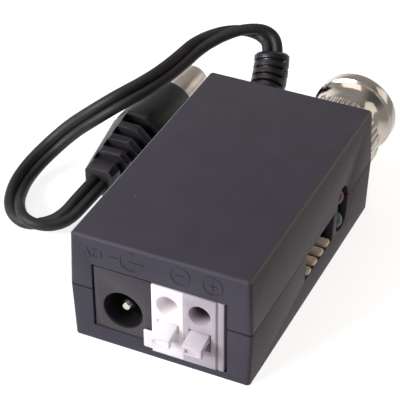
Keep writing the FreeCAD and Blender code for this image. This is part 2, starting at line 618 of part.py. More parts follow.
# DIP switch: a tall body with four keys in its face
def dipSwitch():
    left = "dipFaceX - dipDepth"
    low = "boardFace - dipTall"
    block = box("dip_block", (left, "dipY - dipLength/2", low), ("dipFaceX", "dipY + dipLength/2", "boardFace"))
    hubZ = "keyLow + keyThick/2"
    cuts = []
    legs = []
    for i, y in enumerate(keyY):
        half = "keyWidth/2 + keySlack"
        cuts.append(rod(f"key_seat_{i}", ("keyHubX", f"{y} - ({half})", hubZ), "y",
                        "keyHubRadius + keySlack", f"2*({half})"))
        cuts.append(box(f"key_slot_{i}", ("keyHubX", f"{y} - ({half})", "keyLow - 0.25"),
                        ("dipFaceX + 1", f"{y} + {half}", "keySlotTop")))
        for j, x in enumerate(dipLegX):
            legs.append(leg(f"dip_leg_{i}_{j}", x, y, "boardFace - 0.3", "legRadius*0.7"))
    fuse("dip_body", cut("dip_solid", block, *cuts), *legs)
    for i, y in enumerate(keyY):
        blade = box(f"key_blade_{i}", ("keyHubX", f"{y} - keyWidth/2", "keyLow"),
                    ("keyReach", f"{y} + keyWidth/2", "keyLow + keyThick"))
        rounded = fillet(f"key_round_{i}", blade, lambda e: isUpright(e)
                         and e.CenterOfMass.x > val("keyHubX") + 1, "keyRound")
        hub = rod(f"key_hub_{i}", ("keyHubX", f"{y} - keyWidth/2", hubZ), "y", "keyHubRadius", "keyWidth")
        fuse(f"dip_key_{i + 1}", rounded, hub)


# LEDs: round lenses looking out to the right, legs bent up into the board
def led(colour, z, legX):
    back = "ledDomeX - ledLength"
    barrel = rod(f"led_{colour}_barrel", (back, "ledY", z), "x", "ledRadius", "ledLength")
    rim = rod(f"led_{colour}_rim", (f"{back} - 0.6", "ledY", z), "x", "ledRadius + ledRim", "0.6")
    dome = doc.addObject("Part::Sphere", f"led_{colour}_dome")
    drive(dome, Radius="ledRadius")
    put(dome, "ledDomeX", "ledY", z)
    pieces = [barrel, rim, dome]
    for i, y in enumerate(ledLegY):
        side = "ledLegHalf"
        pieces.append(box(f"led_{colour}_out_{i}", (f"{legX} - {side}", f"{y} - {side}", f"{z} - {side}"),
                          (f"{back} - 0.3", f"{y} + {side}", f"{z} + {side}")))
        pieces.append(box(f"led_{colour}_up_{i}", (f"{legX} - {side}", f"{y} - {side}", f"{z} - {side}"),
                          (f"{legX} + {side}", f"{y} + {side}", f"{boardTop} + legOut")))
    fuse(f"led_{colour}", *pieces)


# Coax plug: turned body, insulator, pin, gasket, retaining ring, wave washer, bayonet nut
rearFace = "caseLength/2"
shoulderEnd = f"{rearFace} + 1.1"
nutStart = f"{shoulderEnd} + nutStopGap"
nutEnd = f"{rearFace} + coaxReach"
nutStep = f"{nutStart} + 2.5"
ringStart = f"{nutStep} + washerThick + washerWave + nutTravel + 0.15"
stemEnd = f"{ringStart} + ringThick + 0.5"
sleeveEnd = f"{nutEnd} - 0.9"
wallBack = f"{rearFace} - wallThick"


def coaxPlug():
    x, z = "coaxX", "splitHeight"
    turned("bnc_body", [
        ("coaxCore", f"{wallBack} - 4.8"), ("coaxTail", f"{wallBack} - 4.8"),
        ("coaxTail", f"{wallBack} - 1.5"), ("coaxFlange", f"{wallBack} - 1.5"),
        ("coaxFlange", f"{wallBack} - 0.3"), ("coaxNeck", f"{wallBack} - 0.3"),
        ("coaxNeck", f"{rearFace} + 0.05"), ("coaxShoulder", f"{rearFace} + 0.05"),
        ("coaxShoulder", shoulderEnd), ("coaxStem", shoulderEnd), ("coaxStem", ringStart),
        ("coaxStem - 0.35", ringStart), ("coaxStem - 0.35", f"{ringStart} + ringThick"),
        ("coaxStem", f"{ringStart} + ringThick"), ("coaxStem", stemEnd), ("coaxSleeve", stemEnd),
        ("coaxSleeve", f"{sleeveEnd} - 0.4"), ("coaxSleeve - 0.2", sleeveEnd),
        ("coaxSleeveBore", sleeveEnd), ("coaxSleeveBore", stemEnd), ("coaxCore", stemEnd),
    ], x, z)
    turned("bnc_insulator", [
        ("coaxPin - seatStep + pressGap", f"{wallBack} - 4.8"), ("coaxCore - pressGap", f"{wallBack} - 4.8"),
        ("coaxCore - pressGap", f"{stemEnd} + 1.8"), ("coaxPin - seatStep + pressGap", f"{stemEnd} + 1.8"),
    ], x, z)
    turned("bnc_centre_pin", [
        ("0", f"{wallBack} - 6.2"), ("coaxPin - seatStep", f"{wallBack} - 6.2"),
        ("coaxPin - seatStep", f"{stemEnd} + 1.8"), ("coaxPin", f"{stemEnd} + 1.8"),
        ("coaxPin", f"{sleeveEnd} - 0.8"),
        ("coaxPin*0.35", f"{sleeveEnd} + 0.1"), ("0", f"{sleeveEnd} + 0.1"),
    ], x, z)
    turned("bnc_gasket", [
        ("coaxSleeve + pressGap", stemEnd), ("nutBore - 0.15", stemEnd),
        ("nutBore - 0.15", f"{stemEnd} + 0.9"), ("coaxSleeve + pressGap", f"{stemEnd} + 0.9"),
    ], x, z)
    whole = turned("retaining_ring_blank", [
        ("coaxStem - 0.3", f"{ringStart} + 0.05"), ("nutBore - 0.08", f"{ringStart} + 0.05"),
        ("nutBore - 0.08", f"{ringStart} + ringThick - 0.05"),
        ("coaxStem - 0.3", f"{ringStart} + ringThick - 0.05"),
    ], x, z)
    split = box("retaining_ring_split", (f"{x} - 0.6", ringStart, "splitHeight"),
                (f"{x} + 0.6", f"{ringStart} + ringThick", "splitHeight + nutBore + 1"))
    cut("bnc_retaining_ring", whole, split)


# The wave washer: a thin ring whose height swings three times round
def waveWasher():
    inner, outer = val("coaxStem + 0.1"), val("nutBore - 0.12")
    thick, swing = val("washerThick"), val("washerWave")
    wires = []
    count = 24
    for i in range(count):
        turn = 2 * math.pi * i / count
        low = val(nutStep) + 0.03 + swing / 2 * (1 - math.cos(3 * turn))
        across, rise = math.cos(turn), math.sin(turn)
        corners = [Vector(r * across, y, r * rise) for r, y in
                   ((inner, low), (outer, low), (outer, low + thick), (inner, low + thick))]
        wires.append(Part.makePolygon(corners + corners[:1]))
    solids = [Part.makeLoft([wires[i], wires[(i + 1) % count]], True, True) for i in range(count)]
    whole = solids[0].multiFuse(solids[1:])
    washer = doc.addObject("Part::Feature", "bnc_wave_washer")
    washer.Shape = whole.Solids[0]
    washer.Placement = Placement(Vector(val("coaxX"), 0, val("splitHeight")), Rotation())


def bayonetNut():
    body = newBody("nut_turned")
    profile = sketchOn(body, "nut_profile", "XY_Plane")
    knurlEnd = f"{nutStart} + nutKnurlLength"
    flare = [(f"nutWaist + (nutRim - nutWaist)*{round(1 - math.cos(math.radians(a)), 4)}",
              f"{knurlEnd} + 2.9 + (nutLength - nutKnurlLength - 3.1 - nutRimWidth)"
              f"*{round(math.sin(math.radians(a)), 4)}") for a in (0, 22.5, 45, 67.5, 90)]
    outline(profile, [
        ("coaxStem + nutRunGap", nutStart), ("nutKnurl - 0.35", nutStart),
        ("nutKnurl", f"{nutStart} + 0.35"), ("nutKnurl", f"{knurlEnd} - 0.35"),
        ("nutKnurl - 0.35", knurlEnd), ("nutWaist - 0.25", f"{knurlEnd} + 0.1"),
        ("nutWaist - 0.25", f"{knurlEnd} + 0.7"), ("nutWaist", f"{knurlEnd} + 0.9"),
        *flare, ("nutRim", f"{nutEnd} - 0.3"), ("nutRim - 0.3", nutEnd),
        ("nutBore + 0.5", nutEnd), ("nutBore", f"{nutEnd} - 0.5"), ("nutBore", nutStep),
        ("coaxStem + nutRunGap", nutStep),
    ])
    spin = body.newObject("PartDesign::Revolution", "nut_spun")
    spin.Profile = profile
    spin.ReferenceAxis = (profile, ["V_Axis"])
    spin.Angle = 360
    notch = sketchOn(body, "nut_notch", "XZ_Plane", f"-({nutStart}) + 0.5")
    outline(notch, [("nutKnurl - knurlDepth", "0"), ("nutKnurl + 0.1", "knurlDepth*0.9"),
                    ("nutKnurl + 0.1", "-knurlDepth*0.9")])
    groove = pocket(body, "nut_knurl_notch", notch, "nutKnurlLength + 0.5 - 0.1")
    knurl = body.newObject("PartDesign::PolarPattern", "nut_knurl")
    knurl.Originals = [groove]
    knurl.Axis = (profile, ["V_Axis"])
    knurl.Angle = 360
    drive(knurl, Occurrences="knurlCount")
    body.Tip = knurl
    put(body, "coaxX", "0", "splitHeight")
    return body


# One cam groove in the bore: a straight way in under the rim, a ramp and a round seat
def camGroove(turn):
    inner, outer = val("nutBore - 0.4"), val("nutWaist - 0.3")
    wide, rise, sweep = val("lugSlotWidth"), val("lugSlotRise"), val("lugSlotTurn")
    rampEnd = val(f"{nutEnd} - nutRimWidth - 0.4") - wide / 2
    way = Part.makeBox(outer - inner, val(nutEnd) + 0.5 - rampEnd, wide,
                       Vector(inner, rampEnd, -wide / 2))
    middle = (inner + outer) / 2
    helix = Part.makeHelix(rise * 360 / sweep, rise, middle)
    half = (outer - inner) / 2
    corners = [Vector(middle - half, 0, -wide / 2), Vector(middle + half, 0, -wide / 2),
               Vector(middle + half, 0, wide / 2), Vector(middle - half, 0, wide / 2)]
    ramp = Part.Wire(helix.Edges).makePipeShell([Part.makePolygon(corners + corners[:1])], True, True)
    ramp.rotate(Vector(), Vector(1, 0, 0), 90)
    ramp.translate(Vector(0, rampEnd, 0))
    far = math.radians(sweep)
    seat = Part.makeCylinder(wide / 2 + 0.05, outer - inner, Vector(inner, 0, 0), Vector(1, 0, 0))
    seat.rotate(Vector(), Vector(0, 1, 0), -math.degrees(far))
    seat.translate(Vector(0, rampEnd - rise, 0))
    slot = way.fuse([ramp, seat])
    slot.rotate(Vector(), Vector(0, 1, 0), turn)
    slot.translate(Vector(val("coaxX"), 0, val("splitHeight")))
    return slot


def couplingNut():
    turnedNut = bayonetNut()
    grooves = doc.addObject("Part::Feature", "nut_cam_grooves")
    grooves.Shape = Part.makeCompound([camGroove(200), camGroove(20)])
    cut("bnc_coupling_nut", turnedNut, grooves)


# Strain relief: a sleeve that leaves the case straight, then bends up and to the left
def reliefPoint(distance):
    straight = val("reliefStraight")
    bend = val("reliefBend")
    rise = math.radians(val("reliefRise"))
    start = Vector(val("reliefX"), val(rearFace), val("splitHeight"))
    out, aside = Vector(0, 1, 0), Vector(-math.cos(rise), 0, math.sin(rise))
    if distance <= straight:
        return start + out * distance, out
    angle = (distance - straight) / bend
    spot = start + out * (straight + bend * math.sin(angle)) + aside * bend * (1 - math.cos(angle))
    return spot, out * math.cos(angle) + aside * math.sin(angle)


def reliefLength():
    return val("reliefStraight") + val("reliefBend") * math.radians(val("reliefTurn"))


def reliefPipe(radius, start):
    bendStart, _ = reliefPoint(val("reliefStraight"))
    bendMiddle, _ = reliefPoint((val("reliefStraight") + reliefLength()) / 2)
    end, _ = reliefPoint(reliefLength())
    spine = Part.Wire([Part.makeLine(start, bendStart), Part.Arc(bendStart, bendMiddle, end).toShape()])
    section = Part.Wire(Part.makeCircle(radius, start, Vector(0, 1, 0)))
    return spine.makePipeShell([section], True, False)


# Cross slots in two rows half a pitch apart, one inside the bend and one outside
def reliefSlot(distance, inside):
    spot, way = reliefPoint(distance)
    sweep = val("reliefSlotSweep")
    width = val("reliefSlot")
    outer = Part.makeCylinder(val("reliefRadius") + 1, width, Vector(), Vector(0, 0, 1), sweep)
    inner = Part.makeCylinder(val("reliefCore"), width)
    slot = outer.cut(inner)
    slot.translate(Vector(0, 0, -width / 2))
    slot.rotate(Vector(), Vector(0, 0, 1), -sweep / 2)
    rise = math.radians(val("reliefRise"))
    across = Vector(math.sin(rise), 0, math.cos(rise)) * (1 if inside else -1)
    slot.Placement = Placement(spot, Rotation(across.cross(way), across, way, "ZXY")) * slot.Placement
    return slot


def strainRelief():
    out = Vector(0, 1, 0)
    start, _ = reliefPoint(-val("wallThick + reliefIn"))
    face, _ = reliefPoint(0)
    length = reliefLength()
    end, heading = reliefPoint(length)
    sleeve = reliefPipe(val("reliefRadius"), face + Vector(0, 0.05, 0))
    pitch = val("reliefPitch")
    count = int((length - val("reliefEnd") - pitch) / pitch)
    slots = []
    for i in range(count):
        at = length - val("reliefEnd") - val("reliefSlot") / 2 - i * pitch
        slots += [reliefSlot(at, True), reliefSlot(at - pitch / 2, False)]
    sleeve = sleeve.cut(slots)
    radius, trim = val("reliefRadius"), val("reliefTrim")
    corner = Part.makeCylinder(radius + 1, trim, end - heading * trim, heading)
    corner = corner.cut(Part.makeCone(radius, radius - trim, trim, end - heading * trim, heading))
    sleeve = sleeve.cut(corner)
    flange = Part.makeCylinder(val("reliefFlange"), val("reliefFlangeThick"), start, out)
    neck = Part.makeCylinder(val("reliefNeck"), val("wallThick + reliefIn") - 0.8, start + out * 1.0, out)
    relief = doc.addObject("Part::Feature", "strain_relief")
    relief.Shape = sleeve.multiFuse([flange, neck]).removeSplitter().Solids[0]


# Lead inside the case: two insulated wires from the relief up to the board
def innerLeads():
    start, _ = reliefPoint(-val("wallThick + reliefIn"))
    turnRadius, reach = val("leadTurn"), val("leadIn")
    wires = []
    for side in (-1, 1):
        low = start + Vector(side * val("leadGap"), 0, 0)
        front = low + Vector(0, turnRadius - reach, 0)
        corner = low + Vector(0, -reach, 0)
        knee = Vector(corner.x, corner.y, low.z + turnRadius)
        around = Vector(corner.x, front.y - turnRadius * math.sin(math.pi / 4),
                        low.z + turnRadius * (1 - math.cos(math.pi / 4)))
        top = Vector(corner.x, corner.y, val("boardFace"))
        spine = Part.Wire([Part.makeLine(low, front), Part.Arc(front, around, knee).toShape(),
                           Part.makeLine(knee, top)])
        ringWire = Part.Wire(Part.makeCircle(val("leadCore"), low, Vector(0, -1, 0)))
        wires.append(spine.makePipeShell([ringWire], True, False))
    leads = doc.addObject("Part::Feature", "inner_leads")
    leads.Shape = Part.makeCompound(wires)


# Route of the lead from the relief to the plug's tail, chosen by hand
def leadRoute():
    end, heading = reliefPoint(reliefLength())
    way = plugSpot(1) - plugSpot(0)
    tail = plugSpot(0) + Vector(way.y, -way.x, 0) * val("plugTailShift")
    between = [
        (-10.9, 40.0, 18.0), (-12.8, 39.8, 18.6), (-15.4, 38.7, 18.8), (-18.3, 36.5, 18.3),
        (-20.9, 33.2, 17.3),
        (-21.7, 28.9, 16.7), (-22.7, 24.5, 16.2), (-24.2, 19.9, 15.8), (-27.4, 15.8, 14.4),
        (-31.4, 14.1, 11.3), (-35.1, 13.9, 8.0), (-38.4, 12.1, 4.5), (-40.3, 7.8, 2.2),
        (-39.6, 2.3, 1.9), (-37.3, -3.0, 1.9), (-32.8, -5.8, 1.9), (-27.9, -3.6, 2.2),
    ]
    first = end + heading * 1.7
    last = tail - way * 3.8
    return [end, first] + [Vector(*p) for p in between] + [last, tail]


def tubeAlong(points, radius):
    edges = []
    here = points[0]
    radii = []
    for i in range(1, len(points) - 1):
        back = points[i - 1] - points[i]
        ahead = points[i + 1] - points[i]
        short = min(back.Length, ahead.Length)
        turn = math.pi - back.getAngle(ahead)
        trim = 0.45 * short
        radii.append(trim / math.tan(turn / 2))
        a = points[i] + back.normalize() * trim
        b = points[i] + ahead.normalize() * trim
        bisector = (back + ahead).normalize()
        centre = points[i] + bisector * math.hypot(radii[-1], trim)
        middle = centre - bisector * radii[-1]
        edges += [Part.LineSegment(here, a).toShape(), Part.Arc(a, middle, b).toShape()]
        here = b
    edges.append(Part.LineSegment(here, points[-1]).toShape())
    spine = Part.Wire(edges)
    start = Part.Wire(Part.makeCircle(radius, points[0], points[1] - points[0]))
    solid = spine.makePipeShell([start], True, False)
    expected = math.pi * radius ** 2 * spine.Length
    print("lead: bends of radius", [round(r, 1) for r in radii])
    print(f"lead: length {spine.Length:.1f}, volume {solid.Volume:.1f} of {expected:.1f}")
    return solid


def pigtailLead():
    lead = doc.addObject("Part::Feature", "pigtail_cable")
    lead.Shape = tubeAlong(leadRoute(), val("leadWidth / 2"))


# DC plug: faceted ribbed tail, round grip, nickel barrel with an inner contact
def plugSpot(distance):
    angle = math.radians(val("plugTurn"))
    return (Vector(val("plugX"), val("plugTailY"), val("plugHigh"))
            + Vector(-math.sin(angle), math.cos(angle), 0) * distance)


def plugPlace(thing):
    put(thing, "plugX", "plugTailY", "plugHigh", Rotation(Vector(0, 0, 1), val("plugTurn")))


# Square with cut corners, seen along the plug
def facets(sketch, half, shift):
    left, right = f"{shift} - {half}", f"{shift} + {half}"
    near, far = f"{shift} - plugFlat", f"{shift} + plugFlat"
    outline(sketch, [
        (near, f"-{half}"), (far, f"-{half}"), (right, "-plugFlat"), (right, "plugFlat"),
        (far, half), (near, half), (left, "plugFlat"), (left, "-plugFlat"),
    ])


def dcPlug():
    tail = newBody("plug_tail")
    small = sketchOn(tail, "plug_tail_end", "XZ_Plane", "0")
    facets(small, "plugReliefNarrow", "plugTailShift")
    large = sketchOn(tail, "plug_tail_root", "XZ_Plane", "-(plugRelief + 0.6)")
    facets(large, "plugReliefWide", "0")
    loft(tail, "plug_tail_loft", "AdditiveLoft", small, large)
    # Grooves from the top over to the right and from the bottom over to the left
    groove = sketchOn(tail, "plug_groove", "XZ_Plane", "-plugTailBlock")
    for sign in ("", "-"):
        outline(groove, [(f"{sign}({u})", f"{sign}({v})") for u, v in (
            ("-plugFlat", "plugRadius + 1"), ("plugRadius + 1", "plugRadius + 1"),
            ("plugRadius + 1", "-plugFlat"), ("plugSlotFloor", "-plugFlat"),
            ("plugSlotFloor", "plugSlotFloor"), ("-plugFlat", "plugSlotFloor"))])
    first = pocket(tail, "plug_groove_cut", groove, "plugSlot")
    row = tail.newObject("PartDesign::LinearPattern", "plug_grooves")
    row.Originals = [first]
    row.Direction = (next(f for f in tail.Origin.OriginFeatures if f.Role == "Y_Axis"), [""])
    row.Occurrences = 4
    drive(row, Length="3*plugBarPitch")
    tail.Tip = row
    plugPlace(tail)
    grip = newBody("plug_grip")
    side = sketchOn(grip, "plug_grip_profile", "XY_Plane")
    end = "plugRelief + plugBodyLength"
    outline(side, [
        ("0", "plugRelief"), ("plugRadius - 0.7", "plugRelief"), ("plugRadius", "plugRelief + 0.7"),
        ("plugRadius", "plugRelief + 3"), ("plugNose", f"{end} - 0.5"), ("plugNose - 0.5", end),
        ("barrelRadius - seatStep + pressGap", end),
        ("barrelRadius - seatStep + pressGap", f"{end} - barrelSeat"),
        ("0", f"{end} - barrelSeat"),
    ])
    spin = grip.newObject("PartDesign::Revolution", "plug_grip_spun")
    spin.Profile = side
    spin.ReferenceAxis = (side, ["V_Axis"])
    spin.Angle = 360
    plugPlace(grip)
    fuse("plug_body", tail, grip)
    tip = f"{end} + barrelLength"
    seat = f"{end} - barrelSeat"
    for label, corners in {
        "plug_barrel": [("barrelRadius - barrelWall", seat), ("barrelRadius - seatStep", seat),
                        ("barrelRadius - seatStep", end), ("barrelRadius", end),
                        ("barrelRadius", f"{tip} - 0.3"), ("barrelRadius - 0.3", tip),
                        ("barrelRadius - barrelWall", tip)],
        "plug_insulator": [("contactRadius + pressGap", seat),
                           ("barrelRadius - barrelWall - pressGap", seat),
                           ("barrelRadius - barrelWall - pressGap", f"{tip} - 0.25"),
                           ("contactRadius + pressGap", f"{tip} - 0.25")],
        "plug_contact": [("contactBore", seat), ("contactRadius", seat),
                         ("contactRadius", f"{tip} - 0.4"), ("contactBore", f"{tip} - 0.4")],
    }.items():
        plugPlace(turned(label, corners, "0", "0"))


topCover()
bottomShell()
circuitBoard()
boardParts()
dcJack()
terminalBlock()
dipSwitch()
led("red", "ledRedZ", "ledLegX")
led("green", "ledGreenZ", "ledLegX - ledLegPitch")
coaxPlug()
waveWasher()
couplingNut()
strainRelief()
innerLeads()
pigtailLead()
dcPlug()
doc.recompute()

# The sub-parts, in the order of assembly
nodes = [
    "bottom_shell", "top_cover", "circuit_board", "balun_core", "balun_winding", "driver_chip",
    "filter_capacitor", "jack_housing", "jack_pin", "jack_spring_contact", "terminal_white",
    "terminal_grey", "terminal_end_plate", "lever_white", "lever_grey", "clamp_spring_white",
    "clamp_spring_grey", "contact_white", "contact_grey", "dip_body", "dip_key_1", "dip_key_2",
    "dip_key_3", "dip_key_4", "led_red", "led_green", "bnc_body", "bnc_insulator",
    "bnc_centre_pin", "bnc_gasket", "bnc_retaining_ring", "bnc_wave_washer",
    "bnc_coupling_nut", "strain_relief", "inner_leads", "pigtail_cable", "plug_body",
    "plug_barrel", "plug_insulator", "plug_contact",
]

failed = [o.Label for o in doc.Objects if {"Invalid", "Error"} & set(o.State)]
if failed:
    raise SystemExit("failed objects: " + ", ".join(failed))
os.makedirs("parts", exist_ok=True)
for name in nodes:
    piece = doc.getObject(name)
    piece.Label = name
    shape = piece.Shape
    if shape.isNull() or not shape.isValid() or not shape.Solids:
        raise SystemExit("bad shape: " + name)
    print(f"{name}: solids {len(shape.Solids)}, volume {shape.Volume:.2f}")
    if len(shape.Solids) == 1:
        shape = shape.Solids[0]
    shape.exportStep(f"parts/{name}.step")
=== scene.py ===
# Looks of a small video balun: dark ABS case, spring terminals, nickel coax nut, twin lead with a DC plug
import bpy
import bmesh
import json
import math
from mathutils import Matrix, Vector


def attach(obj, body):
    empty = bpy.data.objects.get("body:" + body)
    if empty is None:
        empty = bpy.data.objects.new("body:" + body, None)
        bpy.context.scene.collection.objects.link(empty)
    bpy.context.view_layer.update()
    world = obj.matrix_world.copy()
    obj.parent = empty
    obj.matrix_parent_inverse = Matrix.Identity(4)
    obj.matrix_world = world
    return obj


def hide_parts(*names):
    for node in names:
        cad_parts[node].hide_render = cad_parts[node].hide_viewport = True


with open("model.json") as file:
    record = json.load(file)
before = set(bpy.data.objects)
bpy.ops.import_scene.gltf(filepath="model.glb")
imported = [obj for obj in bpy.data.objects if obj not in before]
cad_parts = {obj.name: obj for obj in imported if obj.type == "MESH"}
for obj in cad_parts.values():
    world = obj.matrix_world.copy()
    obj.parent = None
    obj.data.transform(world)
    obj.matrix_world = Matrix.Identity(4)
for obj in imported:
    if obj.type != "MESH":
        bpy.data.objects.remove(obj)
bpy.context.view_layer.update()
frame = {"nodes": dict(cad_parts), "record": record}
scene = bpy.context.scene
scene.view_settings.view_transform = "Standard"
mm = 0.001
splitHeight = 9.65  # where the case's shells meet, in millimetres above the ground
bodyOf = {node: body for body, members in frame["record"]["behaviour"]["bodies"].items() for node in members}
slotOf = {row["node"]: row["material_slot"] for row in frame["record"]["subparts"]}

# camera, fitted to the photograph: metres, degrees and a lens in millimetres
cameraValues = {"place": (0.08027, -0.18012, 0.15677), "azimuth": 25.304, "elevation": 36.104,
                "roll": -0.277, "lens": 143.83, "sensor": 36, "clip": (0.01, 10)}


def addCamera(values):
    data = bpy.data.cameras.new("photoCamera")
    data.lens = values["lens"]
    data.sensor_width = values["sensor"]
    data.clip_start, data.clip_end = values["clip"]
    camera = bpy.data.objects.new("photoCamera", data)
    scene.collection.objects.link(camera)
    turn, rise = math.radians(values["azimuth"]), math.radians(values["elevation"])
    back = Vector((math.sin(turn) * math.cos(rise), -math.cos(turn) * math.cos(rise), math.sin(rise)))
    right = Vector((math.cos(turn), math.sin(turn), 0))
    up = back.cross(right)
    tilt = math.radians(values["roll"])
    side = right * math.cos(tilt) + up * math.sin(tilt)
    top = -right * math.sin(tilt) + up * math.cos(tilt)
    camera.matrix_world = Matrix((side, top, back)).transposed().to_4x4()
    camera.location = values["place"]
    scene.camera = camera


addCamera(cameraValues)
print("camera set")


# small helpers for the materials
def hexToLinear(code):
    channels = [int(code[i:i + 2], 16) / 255 for i in (1, 3, 5)]
    return tuple(c / 12.92 if c <= 0.04045 else ((c + 0.055) / 1.055) ** 2.4 for c in channels) + (1,)


# a socket takes a value, or an output to link from, or a node whose first output is linked
def addNode(tree, kind, settings=None, sockets=None):
    node = tree.nodes.new(kind)
    for name, value in (settings or {}).items():
        setattr(node, name, value)
    for name, value in (sockets or {}).items():
        if isinstance(value, bpy.types.Node):
            value = value.outputs[0]
        if isinstance(value, bpy.types.NodeSocket):
            tree.links.new(value, node.inputs[name])
        else:
            node.inputs[name].default_value = value
    return node


def newMaterial(name, **sockets):
    material = bpy.data.materials.new(name)
    material.use_nodes = True
    tree = material.node_tree
    shader = tree.nodes["Principled BSDF"]
    for socket, value in sockets.items():
        shader.inputs[socket.replace("_", " ")].default_value = value
    return material, tree, shader


def objectSpot(tree):
    return addNode(tree, "ShaderNodeTexCoord").outputs["Object"]


# what all uneven patterns share, and the shares of a pattern between which two colours mix
patternValues = {"roughness": 0.55, "mixed": (0.35, 0.65)}


# an uneven pattern, its size in millimetres
def grainPattern(tree, size, detail=2.0, stretch=None):
    spot = objectSpot(tree)
    if stretch:
        spot = addNode(tree, "ShaderNodeMapping", sockets={"Vector": spot, "Scale": stretch})
    return addNode(tree, "ShaderNodeTexNoise", sockets={"Vector": spot, "Scale": 1 / (size * mm),
                                                        "Detail": detail,
                                                        "Roughness": patternValues["roughness"]})


# two hex colours mixed by a pattern
def mixedColour(tree, shader, pattern, darkHex, paleHex):
    ramp = addNode(tree, "ShaderNodeValToRGB", sockets={"Fac": pattern})
    dark, pale = ramp.color_ramp.elements
    dark.position, pale.position = patternValues["mixed"]
    dark.color, pale.color = hexToLinear(darkHex), hexToLinear(paleHex)
    tree.links.new(ramp.outputs["Color"], shader.inputs["Base Color"])
    return ramp


# where along Y a piece's colour darkens, in millimetres: painted shade in the jack's bore and the wire
# holes, and the plug's darker smooth grip
depths = {"jackBore": (-23.9, -23.4), "wireHoleShade": (-23.9, -21.9), "plugGrip": (18, 21)}


# darker from one depth to another; gives the share
def deepen(tree, shader, colour, ends, deepHex):
    start, end = ends
    spot = addNode(tree, "ShaderNodeSeparateXYZ", sockets={"Vector": objectSpot(tree)})
    inside = addNode(tree, "ShaderNodeMapRange", sockets={"Value": spot.outputs["Y"], "From Min": start * mm,
                                                          "From Max": end * mm})
    dark = addNode(tree, "ShaderNodeMixRGB", sockets={"Fac": inside, "Color1": colour,
                                                      "Color2": hexToLinear(deepHex)})
    tree.links.new(dark.outputs["Color"], shader.inputs["Base Color"])
    return inside


def roughnessFrom(tree, shader, pattern, low, high):
    spread = addNode(tree, "ShaderNodeMapRange", sockets={"Value": pattern, "To Min": low, "To Max": high})
    tree.links.new(spread.outputs["Result"], shader.inputs["Roughness"])


# relief from a pattern, its depth in millimetres
def reliefFrom(tree, shader, pattern, strength, depth):
    bump = addNode(tree, "ShaderNodeBump", sockets={"Height": pattern, "Strength": strength,
                                                    "Distance": depth * mm})
    tree.links.new(bump.outputs["Normal"], shader.inputs["Normal"])


# the case's plastic: lengths in millimetres, and a speck's reach as a share of the distance between specks
caseFinish = {
    "tones": ("#3b3941", "#3f3d46"), "toneSize": 5.0,
    "dust": "#a59a9c", "dustApart": 6.0, "dustReach": (0.012, 0.028), "dustShare": 0.55,
    "scuffAndSeamShade": "#131113", "scuffSize": 0.6, "scuffEnds": (0.5, 0.58), "scuffShare": 0.4,
    "patchSize": 7.0, "patchEnds": (0.5, 0.66), "scuffedPast": 13.6, "seamShade": (0.14, 0.2),
    "bevelSheen": "#4b4b4a", "bevelSlant": (0.25, 0.4), "bevelRoughness": 0.28,
    "grain": 0.35, "roughness": (0.42, 0.56), "grainStrength": 0.25, "grainDepth": 0.03,
}


# a few pale dust specks
def dusty(tree, values, colour):
    cells = addNode(tree, "ShaderNodeTexVoronoi", sockets={"Vector": objectSpot(tree),
                                                           "Scale": 1 / (values["dustApart"] * mm)})
    near, far = values["dustReach"]
    speck = addNode(tree, "ShaderNodeMapRange", sockets={"Value": cells, "From Min": near, "From Max": far,
                                                         "To Min": values["dustShare"], "To Max": 0.0})
    return addNode(tree, "ShaderNodeMixRGB", sockets={"Fac": speck, "Color1": colour,
                                                      "Color2": hexToLinear(values["dust"])})


# faint dark scuffs here and there on the right side, and painted shade along the seam between the shells
def addScuffsAndSeamShade(tree, values, colour):
    spot = addNode(tree, "ShaderNodeSeparateXYZ", sockets={"Vector": objectSpot(tree)}).outputs
    low, high = values["scuffEnds"]
    scuffs = addNode(tree, "ShaderNodeMapRange",
                     sockets={"Value": grainPattern(tree, values["scuffSize"], 3.0), "From Min": low,
                              "From Max": high, "To Max": values["scuffShare"]})
    low, high = values["patchEnds"]
    patches = addNode(tree, "ShaderNodeMapRange", sockets={"Value": grainPattern(tree, values["patchSize"]),
                                                           "From Min": low, "From Max": high})
    onRight = addNode(tree, "ShaderNodeMath", {"operation": "GREATER_THAN"},
                      {0: spot["X"], 1: values["scuffedPast"] * mm})
    share = addNode(tree, "ShaderNodeMath", {"operation": "MULTIPLY"}, {0: scuffs, 1: patches})
    share = addNode(tree, "ShaderNodeMath", {"operation": "MULTIPLY"}, {0: share, 1: onRight})
    # painted shade: darker within a hair of the split line, where the seam between the shells falls dark
    above = addNode(tree, "ShaderNodeMath", {"operation": "SUBTRACT"}, {0: spot["Z"], 1: splitHeight * mm})
    away = addNode(tree, "ShaderNodeMath", {"operation": "ABSOLUTE"}, {0: above})
    full, none = values["seamShade"]
    seamShade = addNode(tree, "ShaderNodeMapRange", sockets={"Value": away, "From Min": none * mm,
                                                            "From Max": full * mm})
    share = addNode(tree, "ShaderNodeMath", {"operation": "MAXIMUM"}, {0: share, 1: seamShade})
    return addNode(tree, "ShaderNodeMixRGB", sockets={"Fac": share, "Color1": colour,
                                                      "Color2": hexToLinear(values["scuffAndSeamShade"])})


# one on the long bevels of the top, which face sideways and up at once
def onBevels(tree, values):
    facing = addNode(tree, "ShaderNodeSeparateXYZ",
                     sockets={"Vector": addNode(tree, "ShaderNodeTexCoord").outputs["Normal"]}).outputs
    sideways = addNode(tree, "ShaderNodeMath", {"operation": "ABSOLUTE"}, {0: facing["X"]})
    slanted = addNode(tree, "ShaderNodeMath", {"operation": "MULTIPLY"}, {0: sideways, 1: facing["Z"]})
    low, high = values["bevelSlant"]
    return addNode(tree, "ShaderNodeMapRange", sockets={"Value": slanted, "From Min": low, "From Max": high})
